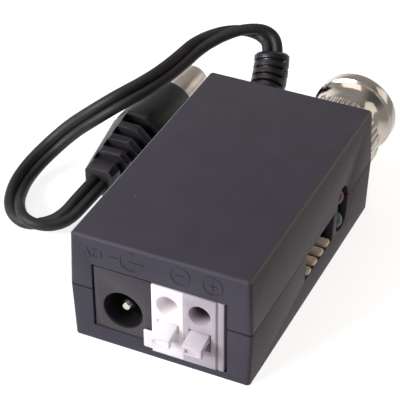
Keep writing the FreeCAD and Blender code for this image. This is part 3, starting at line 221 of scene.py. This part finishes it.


# ABS moulded against a spark-eroded mould: an even satin grey with a grain of about 0.2 mm,
# drawn 0.35 mm wide so that it shows; the long top bevels are smoother and get a painted paler highlight
def sparkErodedAbs(values):
    material, tree, shader = newMaterial("sparkErodedAbs", IOR=1.5, Specular_IOR_Level=0.24)
    tones = mixedColour(tree, shader, grainPattern(tree, values["toneSize"]), *values["tones"])
    marked = addScuffsAndSeamShade(tree, values, dusty(tree, values, tones))
    # painted highlight: a paler colour on the long top bevels, which face sideways and up
    bevelSheen = onBevels(tree, values)
    edged = addNode(tree, "ShaderNodeMixRGB", sockets={"Fac": bevelSheen, "Color1": marked,
                                                       "Color2": hexToLinear(values["bevelSheen"])})
    tree.links.new(edged.outputs["Color"], shader.inputs["Base Color"])
    grain = grainPattern(tree, values["grain"], 3.0)
    low, high = values["roughness"]
    matt = addNode(tree, "ShaderNodeMapRange", sockets={"Value": grain, "To Min": low, "To Max": high})
    roughnessFrom(tree, shader, bevelSheen, matt, values["bevelRoughness"])
    reliefFrom(tree, shader, grain, values["grainStrength"], values["grainDepth"])
    return material


# black jack body: polished mould, so smoother and a touch warmer than the case; its bore is matt,
# and painted shade turns it near-black deeper in
def polishedAbs():
    material, tree, shader = newMaterial("polishedAbs", IOR=1.5, Specular_IOR_Level=0.38)
    tones = mixedColour(tree, shader, grainPattern(tree, 3.0), "#3a363a", "#3f3b3f")
    # painted shade: near-black deeper in the bore
    inBore = deepen(tree, shader, tones, depths["jackBore"], "#080707")
    roughnessFrom(tree, shader, inBore, 0.42, 0.9)
    return material


# polyamide terminals: milky, light goes a little way in and softens the shadows in the holes; a deep colour,
# where given, paints shade deeper in the wire holes
def milkyPolyamide(name, darkHex, paleHex, glow, deepHex=None):
    material, tree, shader = newMaterial(name, IOR=1.53, Subsurface_Weight=glow, Subsurface_Scale=0.9 * mm,
                                         Subsurface_Radius=(1.0, 0.85, 0.7))
    tones = mixedColour(tree, shader, grainPattern(tree, 2.5), darkHex, paleHex)
    if deepHex:
        # painted shade: darker deeper in the wire holes
        deepen(tree, shader, tones, depths["wireHoleShade"], deepHex)
    fine = grainPattern(tree, 0.3)
    roughnessFrom(tree, shader, fine, 0.38, 0.5)
    reliefFrom(tree, shader, fine, 0.12, 0.02)
    return material


# bright nickel over turned brass: warm mirror with faint turning rings 0.15 mm apart
def turnedNickel(name, rough):
    material, tree, shader = newMaterial(name, Metallic=1.0)
    mixedColour(tree, shader, grainPattern(tree, 2.0), "#d6cbbf", "#dfd6cc")
    rings = grainPattern(tree, 0.9, 2.0, (0.3, 6.0, 0.3))
    roughnessFrom(tree, shader, rings, rough, rough + 0.1)
    reliefFrom(tree, shader, rings, 0.1, 0.01)
    return material


# soft PVC over-moulding: matt black with the mould's fine grain; the plug's smooth grip is darker
# than its ribs
def softPvc(name, darkHex, paleHex, deepHex=None):
    material, tree, shader = newMaterial(name, IOR=1.52)
    tones = mixedColour(tree, shader, grainPattern(tree, 2.0), darkHex, paleHex)
    if deepHex:
        deepen(tree, shader, tones, depths["plugGrip"], deepHex)
    grain = grainPattern(tree, 0.3, 3.0)
    roughnessFrom(tree, shader, grain, 0.34, 0.46)
    reliefFrom(tree, shader, grain, 0.2, 0.03)
    return material


# extruded PVC of the lead: smooth along its length, with a soft sheen
def extrudedPvc():
    material, tree, shader = newMaterial("extrudedPvc", IOR=1.53, Specular_IOR_Level=0.4)
    mixedColour(tree, shader, grainPattern(tree, 4.0), "#181716", "#1d1c1c")
    roughnessFrom(tree, shader, grainPattern(tree, 1.2, 3.0), 0.48, 0.58)
    return material


# cream switch keys: urea-like plastic, slightly glossy
def creamPlastic():
    material, tree, shader = newMaterial("creamPlastic", IOR=1.52)
    mixedColour(tree, shader, grainPattern(tree, 1.2), "#cbbdae", "#d9ccbc")
    roughnessFrom(tree, shader, grainPattern(tree, 0.5), 0.35, 0.45)
    return material


# unlit LED: tinted epoxy, hardly clear, smooth but not polished
def tintedEpoxy(name, darkHex, paleHex):
    material, tree, shader = newMaterial(name, IOR=1.55, Roughness=0.35, Transmission_Weight=0.1)
    mixedColour(tree, shader, grainPattern(tree, 1.0), darkHex, paleHex)
    return material


insideUneven = 0.06  # how far the roughness of an inner piece strays to either side


# anything inside the case or behind the connectors
def plainInside(name, darkHex, paleHex, rough, metal=0.0, size=1.0):
    material, tree, shader = newMaterial(name, Metallic=metal)
    pattern = grainPattern(tree, size)
    mixedColour(tree, shader, pattern, darkHex, paleHex)
    roughnessFrom(tree, shader, pattern, rough - insideUneven, rough + insideUneven)
    return material


finishes = {
    "case_plastic": sparkErodedAbs(caseFinish),
    "jack_plastic": polishedAbs(),
    "white_nylon": milkyPolyamide("whitePolyamide", "#faf2f1", "#fdf8f6", 0.3),
    # the grey poles' wire holes darken deeper in, as painted shade
    "grey_nylon": milkyPolyamide("greyPolyamide", "#b3abae", "#bcb4b7", 0.0, "#5a5356"),
    "nickel": turnedNickel("brightNickel", 0.1),
    "soft_pvc": softPvc("softPvc", "#131014", "#18151a"),
    "lead_pvc": extrudedPvc(),
    "key_plastic": creamPlastic(),
    "red_resin": tintedEpoxy("redEpoxy", "#5c3636", "#6c4242"),
    "green_resin": tintedEpoxy("greenEpoxy", "#304737", "#43594a"),
    "switch_plastic": plainInside("switchBlack", "#201f21", "#262528", 0.5),
    "board_laminate": plainInside("solderMask", "#1f4a30", "#245538", 0.4),
    "ferrite": plainInside("sinteredFerrite", "#3a393b", "#454447", 0.6, 0.0, 0.3),
    "enamelled_wire": plainInside("enamelledCopper", "#8a4526", "#9c5532", 0.3, 1.0),
    "chip_resin": plainInside("mouldingResin", "#1b1b1d", "#222224", 0.55),
    "capacitor_sleeve": plainInside("shrinkSleeve", "#202030", "#272739", 0.35),
    "tinned_metal": plainInside("tinnedBronze", "#b9b7b2", "#c8c6c1", 0.32, 1.0),
    "spring_steel": plainInside("springSteel", "#8f8f91", "#a0a0a2", 0.28, 1.0),
    "ptfe": plainInside("fluoropolymer", "#e6e5df", "#efeee9", 0.45),
    "gold_brass": plainInside("goldFlash", "#d0a451", "#dcb266", 0.2, 1.0),
    "gasket_rubber": plainInside("siliconeRubber", "#8e3524", "#9a3f2c", 0.55),
}

# the white lever is a paler copy of the white polyamide that glows more, painted light against its own
# shade; the end plate is a darker copy of the grey polyamide, painted shade; the grey lever is paler than
# the grey poles; the plug's barrel is duller, and the plug's ribs are paler than the relief
nodeFinishes = {
    # painted light: a paler, more glowing copy of the white polyamide
    "lever_white": milkyPolyamide("litWhiteLever", "#fff8f5", "#fffcf9", 1.0),
    "lever_grey": milkyPolyamide("greyLever", "#d2cacd", "#dad3d6", 0.3),
    # painted shade: a darker copy of the grey polyamide
    "terminal_end_plate": milkyPolyamide("shadedGreyEndPlate", "#a69ea2", "#aea6aa", 0.0),
    "plug_barrel": turnedNickel("wornNickel", 0.26),
    "plug_body": softPvc("plugPvc", "#19161a", "#1e1b20", "#0c0a0b"),
}
print("materials made:", len(finishes) + len(nodeFinishes))


# smooth shading, with creases past the given angle in degrees
def finishMesh(piece, node, sharpAngle):
    piece.data.materials.clear()
    piece.data.materials.append(nodeFinishes.get(node, finishes[slotOf[node]]))
    for face in piece.data.polygons:
        face.use_smooth = True
    piece.data.set_sharp_from_angle(angle=math.radians(sharpAngle))


# an object that moves with a CAD node's body; its material is given afterwards from the node's slot
def placePiece(name, mesh, node):
    piece = bpy.data.objects.new(name, mesh)
    scene.collection.objects.link(piece)
    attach(piece, bodyOf[node])
    return piece


# the plain mesh that a curve, text or object with modifiers gives
def plainMesh(thing):
    bpy.context.view_layer.update()
    return bpy.data.meshes.new_from_object(thing.evaluated_get(bpy.context.evaluated_depsgraph_get()))


def bakeModifiers(piece):
    baked = plainMesh(piece)
    piece.modifiers.clear()
    piece.data = baked


# the mesh of a curve or text that isn't kept
def meshOfCurve(name, curve):
    holder = bpy.data.objects.new(name, curve)
    scene.collection.objects.link(holder)
    mesh = plainMesh(holder)
    bpy.data.objects.remove(holder)
    return mesh


# widths of the rounded edges of each dressed node, and what every edge shares; millimetres and degrees
edgeWidths = {
    "bottom_shell": 0.08, "top_cover": 0.05, "jack_housing": 0.28, "terminal_white": 0.14,
    "terminal_grey": 0.14, "terminal_end_plate": 0.12, "lever_white": 0.15, "lever_grey": 0.15,
    "dip_body": 0.08, "dip_key_1": 0.18, "dip_key_2": 0.18, "dip_key_3": 0.18, "dip_key_4": 0.18,
    "led_red": 0, "led_green": 0, "bnc_body": 0.06, "bnc_coupling_nut": 0.05, "strain_relief": 0.08,
    "plug_body": 0.3, "plug_barrel": 0.06, "jack_pin": 0.05,
}
edgeValues = {"segments": 2, "roundedPast": 32, "merged": 0.002, "flat": 0.3, "creasedPast": 40,
              "coverCreasedPast": 30, "leadCreasedPast": 60}

# the lead: figure-of-eight twin, standing on edge where it turns; lengths in millimetres
leadValues = {
    "node": "pigtail_cable", "width": 3.6, "thick": 1.9, "web": 0.75,
    "points": [
        (-9.167, 38.27, 15.786), (-9.547, 39.317, 17.071), (-10.9, 40.0, 18.0), (-12.8, 39.8, 18.6),
        (-15.4, 38.7, 18.8), (-18.3, 36.5, 18.3), (-20.9, 33.2, 17.3), (-21.7, 28.9, 16.7),
        (-22.7, 24.5, 16.2), (-24.2, 19.9, 15.8), (-27.4, 15.8, 14.4), (-31.4, 14.1, 11.3),
        (-35.1, 13.9, 8.0), (-38.4, 12.1, 4.5), (-40.3, 7.8, 2.2), (-39.6, 2.3, 1.9),
        (-37.3, -3.0, 1.9), (-32.8, -5.8, 1.9), (-27.9, -3.6, 2.2), (-25.9, 1.688, 5.0),
        (-25.8, 5.487, 5.0),
    ],
    # roll of the flat side at each point, degrees
    "rolls": [-178, -152, -101, -59, -28, -2, 22, 37, 46, 50, 58, 75, 77, 56, 37, 25, -23, -133, -189, -197,
              -201],
    "stepsToPoint": 12, "facesAround": 14,
}


def splinePath(points, stepsToPoint):
    line = bpy.data.curves.new("leadLine", "CURVE")
    line.dimensions = "3D"
    spline = line.splines.new("NURBS")
    spline.points.add(len(points) - 1)
    for knot, spot in zip(spline.points, points):
        knot.co = (*[v * mm for v in spot], 1)
    spline.order_u = 3
    spline.use_endpoint_u = True
    spline.resolution_u = stepsToPoint
    mesh = meshOfCurve("leadLine", line)
    spots = [v.co.copy() for v in mesh.vertices]
    bpy.data.meshes.remove(mesh)
    return spots


# section of the twin lead: two circles, each open towards the web that joins them
def twinProfile(values):
    radius = values["thick"] / 2
    shift = values["width"] / 2 - radius
    dip = math.asin(values["web"] / 2 / radius)
    count = values["facesAround"]
    ring = []
    for side in (1, -1):
        for i in range(count + 1):
            angle = (-math.pi + dip) + (2 * math.pi - 2 * dip) * i / count
            ring.append((side * (shift + radius * math.cos(angle)), side * radius * math.sin(angle)))
    return ring


def buildLead(values):
    spots = splinePath(values["points"], values["stepsToPoint"])
    ring = twinProfile(values)
    # the rolls follow the same curve as the points, so that the twist has no kinks
    rolls = [spot.x / mm for spot in
             splinePath([(roll, 0, 0) for roll in values["rolls"]], values["stepsToPoint"])]
    tube = bmesh.new()
    rows = []
    last = len(spots) - 1
    for i, spot in enumerate(spots):
        ahead = (spots[min(i + 1, last)] - spots[max(i - 1, 0)]).normalized()
        level = ahead.cross(Vector((0, 0, 1))).normalized()
        upward = level.cross(ahead)
        roll = math.radians(rolls[i])
        across = level * math.cos(roll) + upward * math.sin(roll)
        depth = ahead.cross(across)
        rows.append([tube.verts.new(spot + across * u * mm + depth * v * mm) for u, v in ring])
    count = len(ring)
    for a, b in zip(rows, rows[1:]):
        for j in range(count):
            tube.faces.new((a[j], a[(j + 1) % count], b[(j + 1) % count], b[j]))
    tube.faces.new(rows[0])
    tube.faces.new(reversed(rows[-1]))
    bmesh.ops.recalc_face_normals(tube, faces=tube.faces)
    mesh = bpy.data.meshes.new("twinLead")
    tube.to_mesh(mesh)
    tube.free()
    lead = placePiece("twinLead", mesh, values["node"])
    finishMesh(lead, values["node"], edgeValues["leadCreasedPast"])
    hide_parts(values["node"])
    length = sum((b - a).length for a, b in zip(spots, spots[1:]))
    print(f"lead: {length / mm:.1f} mm")
    return lead, spots, length


lead, leadSpots, leadLength = buildLead(leadValues)


# a CAD node's copy, merged, with its edges rounded as moulding or turning leaves them
def roundedCopy(node, width, values):
    mesh = frame["nodes"][node].data.copy()
    shell = bmesh.new()
    shell.from_mesh(mesh)
    bmesh.ops.remove_doubles(shell, verts=shell.verts, dist=values["merged"] * mm)
    bmesh.ops.dissolve_limit(shell, angle_limit=math.radians(values["flat"]), verts=shell.verts,
                             edges=shell.edges)
    shell.to_mesh(mesh)
    shell.free()
    piece = placePiece(node + "_dressed", mesh, node)
    if width:
        bevel = piece.modifiers.new("edges", "BEVEL")
        bevel.width = width * mm
        bevel.segments = values["segments"]
        bevel.limit_method = "ANGLE"
        bevel.angle_limit = math.radians(values["roundedPast"])
        bevel.miter_outer = "MITER_ARC"
        bevel.use_clamp_overlap = True
        bakeModifiers(piece)
    finishMesh(piece, node, values["coverCreasedPast" if node == "top_cover" else "creasedPast"])
    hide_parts(node)
    return piece


dressed = {node: roundedCopy(node, width, edgeValues) for node, width in edgeWidths.items()}
print("nodes dressed:", len(dressed))

# crowns of the knurl: the ribs between its notches wear round; lengths in millimetres
crownValues = {"count": 48, "ringRadius": 6.70, "crownRadius": 0.29, "length": 3.2, "facesAround": 16,
               "middle": (7.05, 27.35, splitHeight)}


def crownTree():
    tree = bpy.data.node_groups.new("knurlCrowns", "GeometryNodeTree")
    for name, kind in (("Count", "Int"), ("Faces Around", "Int"), ("Ring Radius", "Float"),
                       ("Crown Radius", "Float"), ("Length", "Float"), ("Middle", "Vector"),
                       ("Finish", "Material")):
        tree.interface.new_socket(name, in_out="INPUT", socket_type="NodeSocket" + kind)
    tree.interface.new_socket("Mesh", in_out="OUTPUT", socket_type="NodeSocketGeometry")
    given = addNode(tree, "NodeGroupInput").outputs
    circle = addNode(tree, "GeometryNodeMeshCircle", sockets={"Vertices": given["Count"],
                                                              "Radius": given["Ring Radius"]})
    half = addNode(tree, "ShaderNodeMath", {"operation": "DIVIDE"}, {0: math.pi, 1: given["Count"]})
    phase = addNode(tree, "ShaderNodeCombineXYZ", sockets={"Z": half})
    between = addNode(tree, "GeometryNodeTransform", sockets={"Geometry": circle, "Rotation": phase})
    crown = addNode(tree, "GeometryNodeMeshCylinder", sockets={"Vertices": given["Faces Around"],
                                                               "Radius": given["Crown Radius"],
                                                               "Depth": given["Length"]})
    row = addNode(tree, "GeometryNodeInstanceOnPoints", sockets={"Points": between, "Instance": crown})
    turned = addNode(tree, "GeometryNodeTransform", sockets={"Geometry": row, "Translation": given["Middle"],
                                                             "Rotation": (math.pi / 2, 0, 0)})
    whole = addNode(tree, "GeometryNodeRealizeInstances", sockets={"Geometry": turned})
    finish = addNode(tree, "GeometryNodeSetMaterial", sockets={"Geometry": whole,
                                                               "Material": given["Finish"]})
    addNode(tree, "NodeGroupOutput", sockets={"Mesh": finish})
    return tree


def buildCrowns(values):
    crowns = placePiece("knurlCrowns", bpy.data.meshes.new("knurlCrowns"), "bnc_coupling_nut")
    modifier = crowns.modifiers.new("crowns", "NODES")
    modifier.node_group = crownTree()
    settings = {"Count": values["count"], "Faces Around": values["facesAround"],
                "Ring Radius": values["ringRadius"] * mm, "Crown Radius": values["crownRadius"] * mm,
                "Length": values["length"] * mm, "Middle": [v * mm for v in values["middle"]],
                "Finish": finishes["nickel"]}
    for item in modifier.node_group.interface.items_tree:
        if item.in_out == "INPUT":
            modifier[item.identifier] = settings[item.name]
    bakeModifiers(crowns)
    finishMesh(crowns, "bnc_coupling_nut", edgeValues["creasedPast"])


buildCrowns(crownValues)
print("knurl crowns made")

# the shells part by a hair at the split line, which shows as a dark seam; millimetres from the line
seamValues = {"half": 0.12, "within": 0.01}
for node, way in (("top_cover", 1), ("bottom_shell", -1)):
    for corner in dressed[node].data.vertices:
        if abs(corner.co.z - splitHeight * mm) < seamValues["within"] * mm:
            corner.co.z += way * seamValues["half"] * mm

# the keys' edges wear away, which parts them by dark gaps
keyWear = 0.86
for node in ("dip_key_1", "dip_key_2", "dip_key_3", "dip_key_4"):
    corners = dressed[node].data.vertices
    middle = (min(v.co.y for v in corners) + max(v.co.y for v in corners)) / 2
    for corner in corners:
        corner.co.y = middle + (corner.co.y - middle) * keyWear

# nodes that keep their CAD mesh
for node, carried in frame["nodes"].items():
    if node not in dressed and node != leadValues["node"]:
        carried.data.materials.clear()
        carried.data.materials.append(finishes[slotOf[node]])
print("case parted, keys worn, inner nodes coloured")

# raised marks on the cover's front, which the photograph shows upside down: voltage, polarity, minus
# and plus; millimetres and degrees, and a bar is its distance from the arc's middle and its length
markValues = {
    "tilt": 0.73, "faceY": -24.062, "faceZ": 16.5, "rise": 0.09, "sunk": 0.05, "line": 0.24, "arcSteps": 28,
    "voltage": {"text": "12V", "x": -10.4, "z": 16.45, "size": 2.1},
    "polarity": {"x": -4.6, "z": 16.5, "radius": 1.6, "open": 62, "bars": [(-2.6, 1.2), (1.1, 2.4)]},
    "circles": [(3.25, 16.6, "minus"), (8.3, 16.5, "plus")], "circleRadius": 1.5, "signLength": 1.5,
}


def addPrism(shape, corners, values):
    low = [shape.verts.new((x, values["sunk"], z)) for x, z in corners]
    high = [shape.verts.new((x, -values["rise"], z)) for x, z in corners]
    count = len(corners)
    for i in range(count):
        shape.faces.new((low[i], low[(i + 1) % count], high[(i + 1) % count], high[i]))
    shape.faces.new(high)
    shape.faces.new(list(reversed(low)))


def addBar(shape, x, z, width, height, values):
    addPrism(shape, [(x + side * width / 2, z + way * height / 2) for side, way in
                     ((-1, -1), (1, -1), (1, 1), (-1, 1))], values)


def addArc(shape, x, z, radius, start, end, values):
    inner, outer = radius - values["line"] / 2, radius + values["line"] / 2
    step = math.radians(end - start) / values["arcSteps"]
    for i in range(values["arcSteps"]):
        a = math.radians(start) + step * i
        b = a + step
        addPrism(shape, [(x + r * math.cos(t), z + r * math.sin(t)) for r, t in
                         ((inner, a), (outer, a), (outer, b), (inner, b))], values)


# the voltage, standing on the front face and turned upside down
def voltageMesh(values):
    word = values["voltage"]
    text = bpy.data.curves.new("voltage", "FONT")
    text.body = word["text"]
    text.size = word["size"]
    text.extrude = values["rise"]
    text.align_x, text.align_y = "CENTER", "CENTER"
    letters = meshOfCurve("voltage", text)
    letters.transform(Matrix.Translation((word["x"], 0, word["z"])) @ Matrix.Rotation(math.pi, 4, "Y")
                      @ Matrix.Rotation(math.pi / 2, 4, "X"))
    return letters


def buildMarks(values):
    shape = bmesh.new()
    line = values["line"]
    ring = values["polarity"]
    addArc(shape, ring["x"], ring["z"], ring["radius"], ring["open"], 360 - ring["open"], values)
    for away, length in ring["bars"]:
        addBar(shape, ring["x"] + away, ring["z"], length, line, values)
    for x, z, sign in values["circles"]:
        addArc(shape, x, z, values["circleRadius"], 0, 360, values)
        addBar(shape, x, z, values["signLength"], line, values)
        if sign == "plus":
            addBar(shape, x, z, line, values["signLength"], values)
    bmesh.ops.recalc_face_normals(shape, faces=shape.faces)
    letters = voltageMesh(values)
    shape.from_mesh(letters)
    bpy.data.meshes.remove(letters)
    mesh = bpy.data.meshes.new("coverMarks")
    shape.to_mesh(mesh)
    shape.free()
    lean = (Matrix.Translation((0, values["faceY"], values["faceZ"]))
            @ Matrix.Rotation(math.radians(-values["tilt"]), 4, "X")
            @ Matrix.Translation((0, 0, -values["faceZ"])))
    mesh.transform(Matrix.Scale(mm, 4) @ lean)
    marks = placePiece("coverMarks", mesh, "top_cover")
    finishMesh(marks, "top_cover", edgeValues["coverCreasedPast"])


buildMarks(markValues)
print("marks added")

# floor and world: metres, and levels where 1 is white; "dimFrom" and "dimTo" are where the floor's
# reflection fades on the right, and the pairs are where the world fades with height and to the right
studioValues = {
    "floorSize": 6.0, "floorDrop": 0.00005, "floorColour": 0.5, "floorLift": 0.78,
    "dimFrom": 0.005, "dimTo": 0.045, "farFloor": 0.25,
    "worldColour": "#f6f7ff", "worldLevel": 0.36, "ceilingHeights": (0.05, 0.5), "ceiling": 0.3,
    "sideWays": (0.1, 0.6), "farSide": 0.3,
}
# soft boxes, all aimed at the case: place and size in metres, power in watts
lampAim = (0, 0, 0.01)
lamps = {
    "frontSoftbox": {"place": (-0.48, -0.66, 0.42), "size": (0.5, 0.35), "power": 8.9, "colour": "#f8f5ff"},
    "highSoftbox": {"place": (-0.25, 0.06, 0.86), "size": (0.3, 0.8), "power": 0.6, "colour": "#fff2ee",
                    "mirrored": False},
    "whiteCeiling": {"place": (-0.28, 0.06, 0.86), "size": (0.6, 0.8), "power": 2.0, "colour": "#ffeeea",
                     "lit": False},
    "sideSoftbox": {"place": (0.72, 0.38, 0.26), "size": (0.4, 0.4), "power": 2.3, "colour": "#ffcb98",
                    "mirrored": False},
    "backPanel": {"place": (0.53, 0.66, 0.31), "size": (0.4, 0.4), "power": 0.5, "colour": "#ebe9de"},
}


# one for a ray of any of the kinds named
def rayIs(tree, *names):
    rays = addNode(tree, "ShaderNodeLightPath").outputs
    found = rays[names[0]]
    for name in names[1:]:
        found = addNode(tree, "ShaderNodeMath", {"operation": "MAXIMUM"}, {0: found, 1: rays[name]})
    return found


def addFloor(values):
    bpy.ops.mesh.primitive_plane_add(size=values["floorSize"], location=(0, 0, -values["floorDrop"]))
    floor = bpy.context.object
    floor.name = "paleFloor"
    material, tree, shader = newMaterial("paleFloor", Roughness=0.9, Specular_IOR_Level=0.0,
                                         Emission_Color=(1, 1, 1, 1))
    # reflections see the floor fall off on the right, where the room is dark
    spot = addNode(tree, "ShaderNodeSeparateXYZ", sockets={"Vector": objectSpot(tree)}).outputs
    falloff = addNode(tree, "ShaderNodeMapRange", sockets={"Value": spot["X"], "From Min": values["dimFrom"],
                                                           "From Max": values["dimTo"], "To Min": 1.0,
                                                           "To Max": values["farFloor"]})
    glossy = rayIs(tree, "Is Glossy Ray")
    faded = addNode(tree, "ShaderNodeMixRGB", {"blend_type": "MULTIPLY"},
                    {"Fac": glossy, "Color1": (*[values["floorColour"]] * 3, 1), "Color2": falloff})
    tree.links.new(faded.outputs["Color"], shader.inputs["Base Color"])
    mirrored = addNode(tree, "ShaderNodeMath", {"operation": "MULTIPLY"}, {0: glossy, 1: falloff})
    shown = addNode(tree, "ShaderNodeMath", {"operation": "MAXIMUM"},
                    {0: rayIs(tree, "Is Camera Ray", "Is Transmission Ray"), 1: mirrored})
    lift = addNode(tree, "ShaderNodeMath", {"operation": "MULTIPLY"}, {0: shown, 1: values["floorLift"]})
    tree.links.new(lift.outputs[0], shader.inputs["Emission Strength"])
    floor.data.materials.append(material)


# white backdrop near the horizon on the left, fading to a dim ceiling and right side in reflections
def addWorld(values):
    world = bpy.data.worlds.new("studio")
    scene.world = world
    world.use_nodes = True
    tree = world.node_tree
    soft = tree.nodes["Background"]
    soft.inputs["Color"].default_value = hexToLinear(values["worldColour"])
    soft.inputs["Strength"].default_value = values["worldLevel"]
    way = addNode(tree, "ShaderNodeSeparateXYZ",
                  sockets={"Vector": addNode(tree, "ShaderNodeTexCoord").outputs["Generated"]}).outputs
    fades = []
    for axis, (start, end), least in (("Z", values["ceilingHeights"], values["ceiling"]),
                                      ("X", values["sideWays"], values["farSide"])):
        fades.append(addNode(tree, "ShaderNodeMapRange", {"interpolation_type": "SMOOTHSTEP"},
                             {"Value": way[axis], "From Min": start, "From Max": end, "To Min": 1.0,
                              "To Max": least}))
    dim = addNode(tree, "ShaderNodeMath", {"operation": "MULTIPLY"}, {0: fades[0], 1: fades[1]})
    direct = rayIs(tree, "Is Camera Ray", "Is Transmission Ray")
    level = addNode(tree, "ShaderNodeMath", {"operation": "MAXIMUM"}, {0: direct, 1: dim})
    white = addNode(tree, "ShaderNodeBackground", sockets={"Color": (1, 1, 1, 1), "Strength": level})
    shown = rayIs(tree, "Is Camera Ray", "Is Glossy Ray", "Is Transmission Ray")
    mixed = addNode(tree, "ShaderNodeMixShader", sockets={0: shown, 1: soft, 2: white})
    tree.links.new(mixed.outputs[0], tree.nodes["World Output"].inputs["Surface"])


def addLamp(name, values):
    data = bpy.data.lights.new(name, "AREA")
    data.shape = "RECTANGLE"
    data.size, data.size_y = values["size"]
    data.energy = values["power"]
    data.color = hexToLinear(values["colour"])[:3]
    lamp = bpy.data.objects.new(name, data)
    lamp.location = values["place"]
    lamp.rotation_euler = (Vector(lampAim) - lamp.location).to_track_quat("-Z", "Y").to_euler()
    lamp.visible_glossy = values.get("mirrored", True)
    lamp.visible_diffuse = values.get("lit", True)
    scene.collection.objects.link(lamp)


addFloor(studioValues)
addWorld(studioValues)
for name, values in lamps.items():
    addLamp(name, values)
print("studio lit")
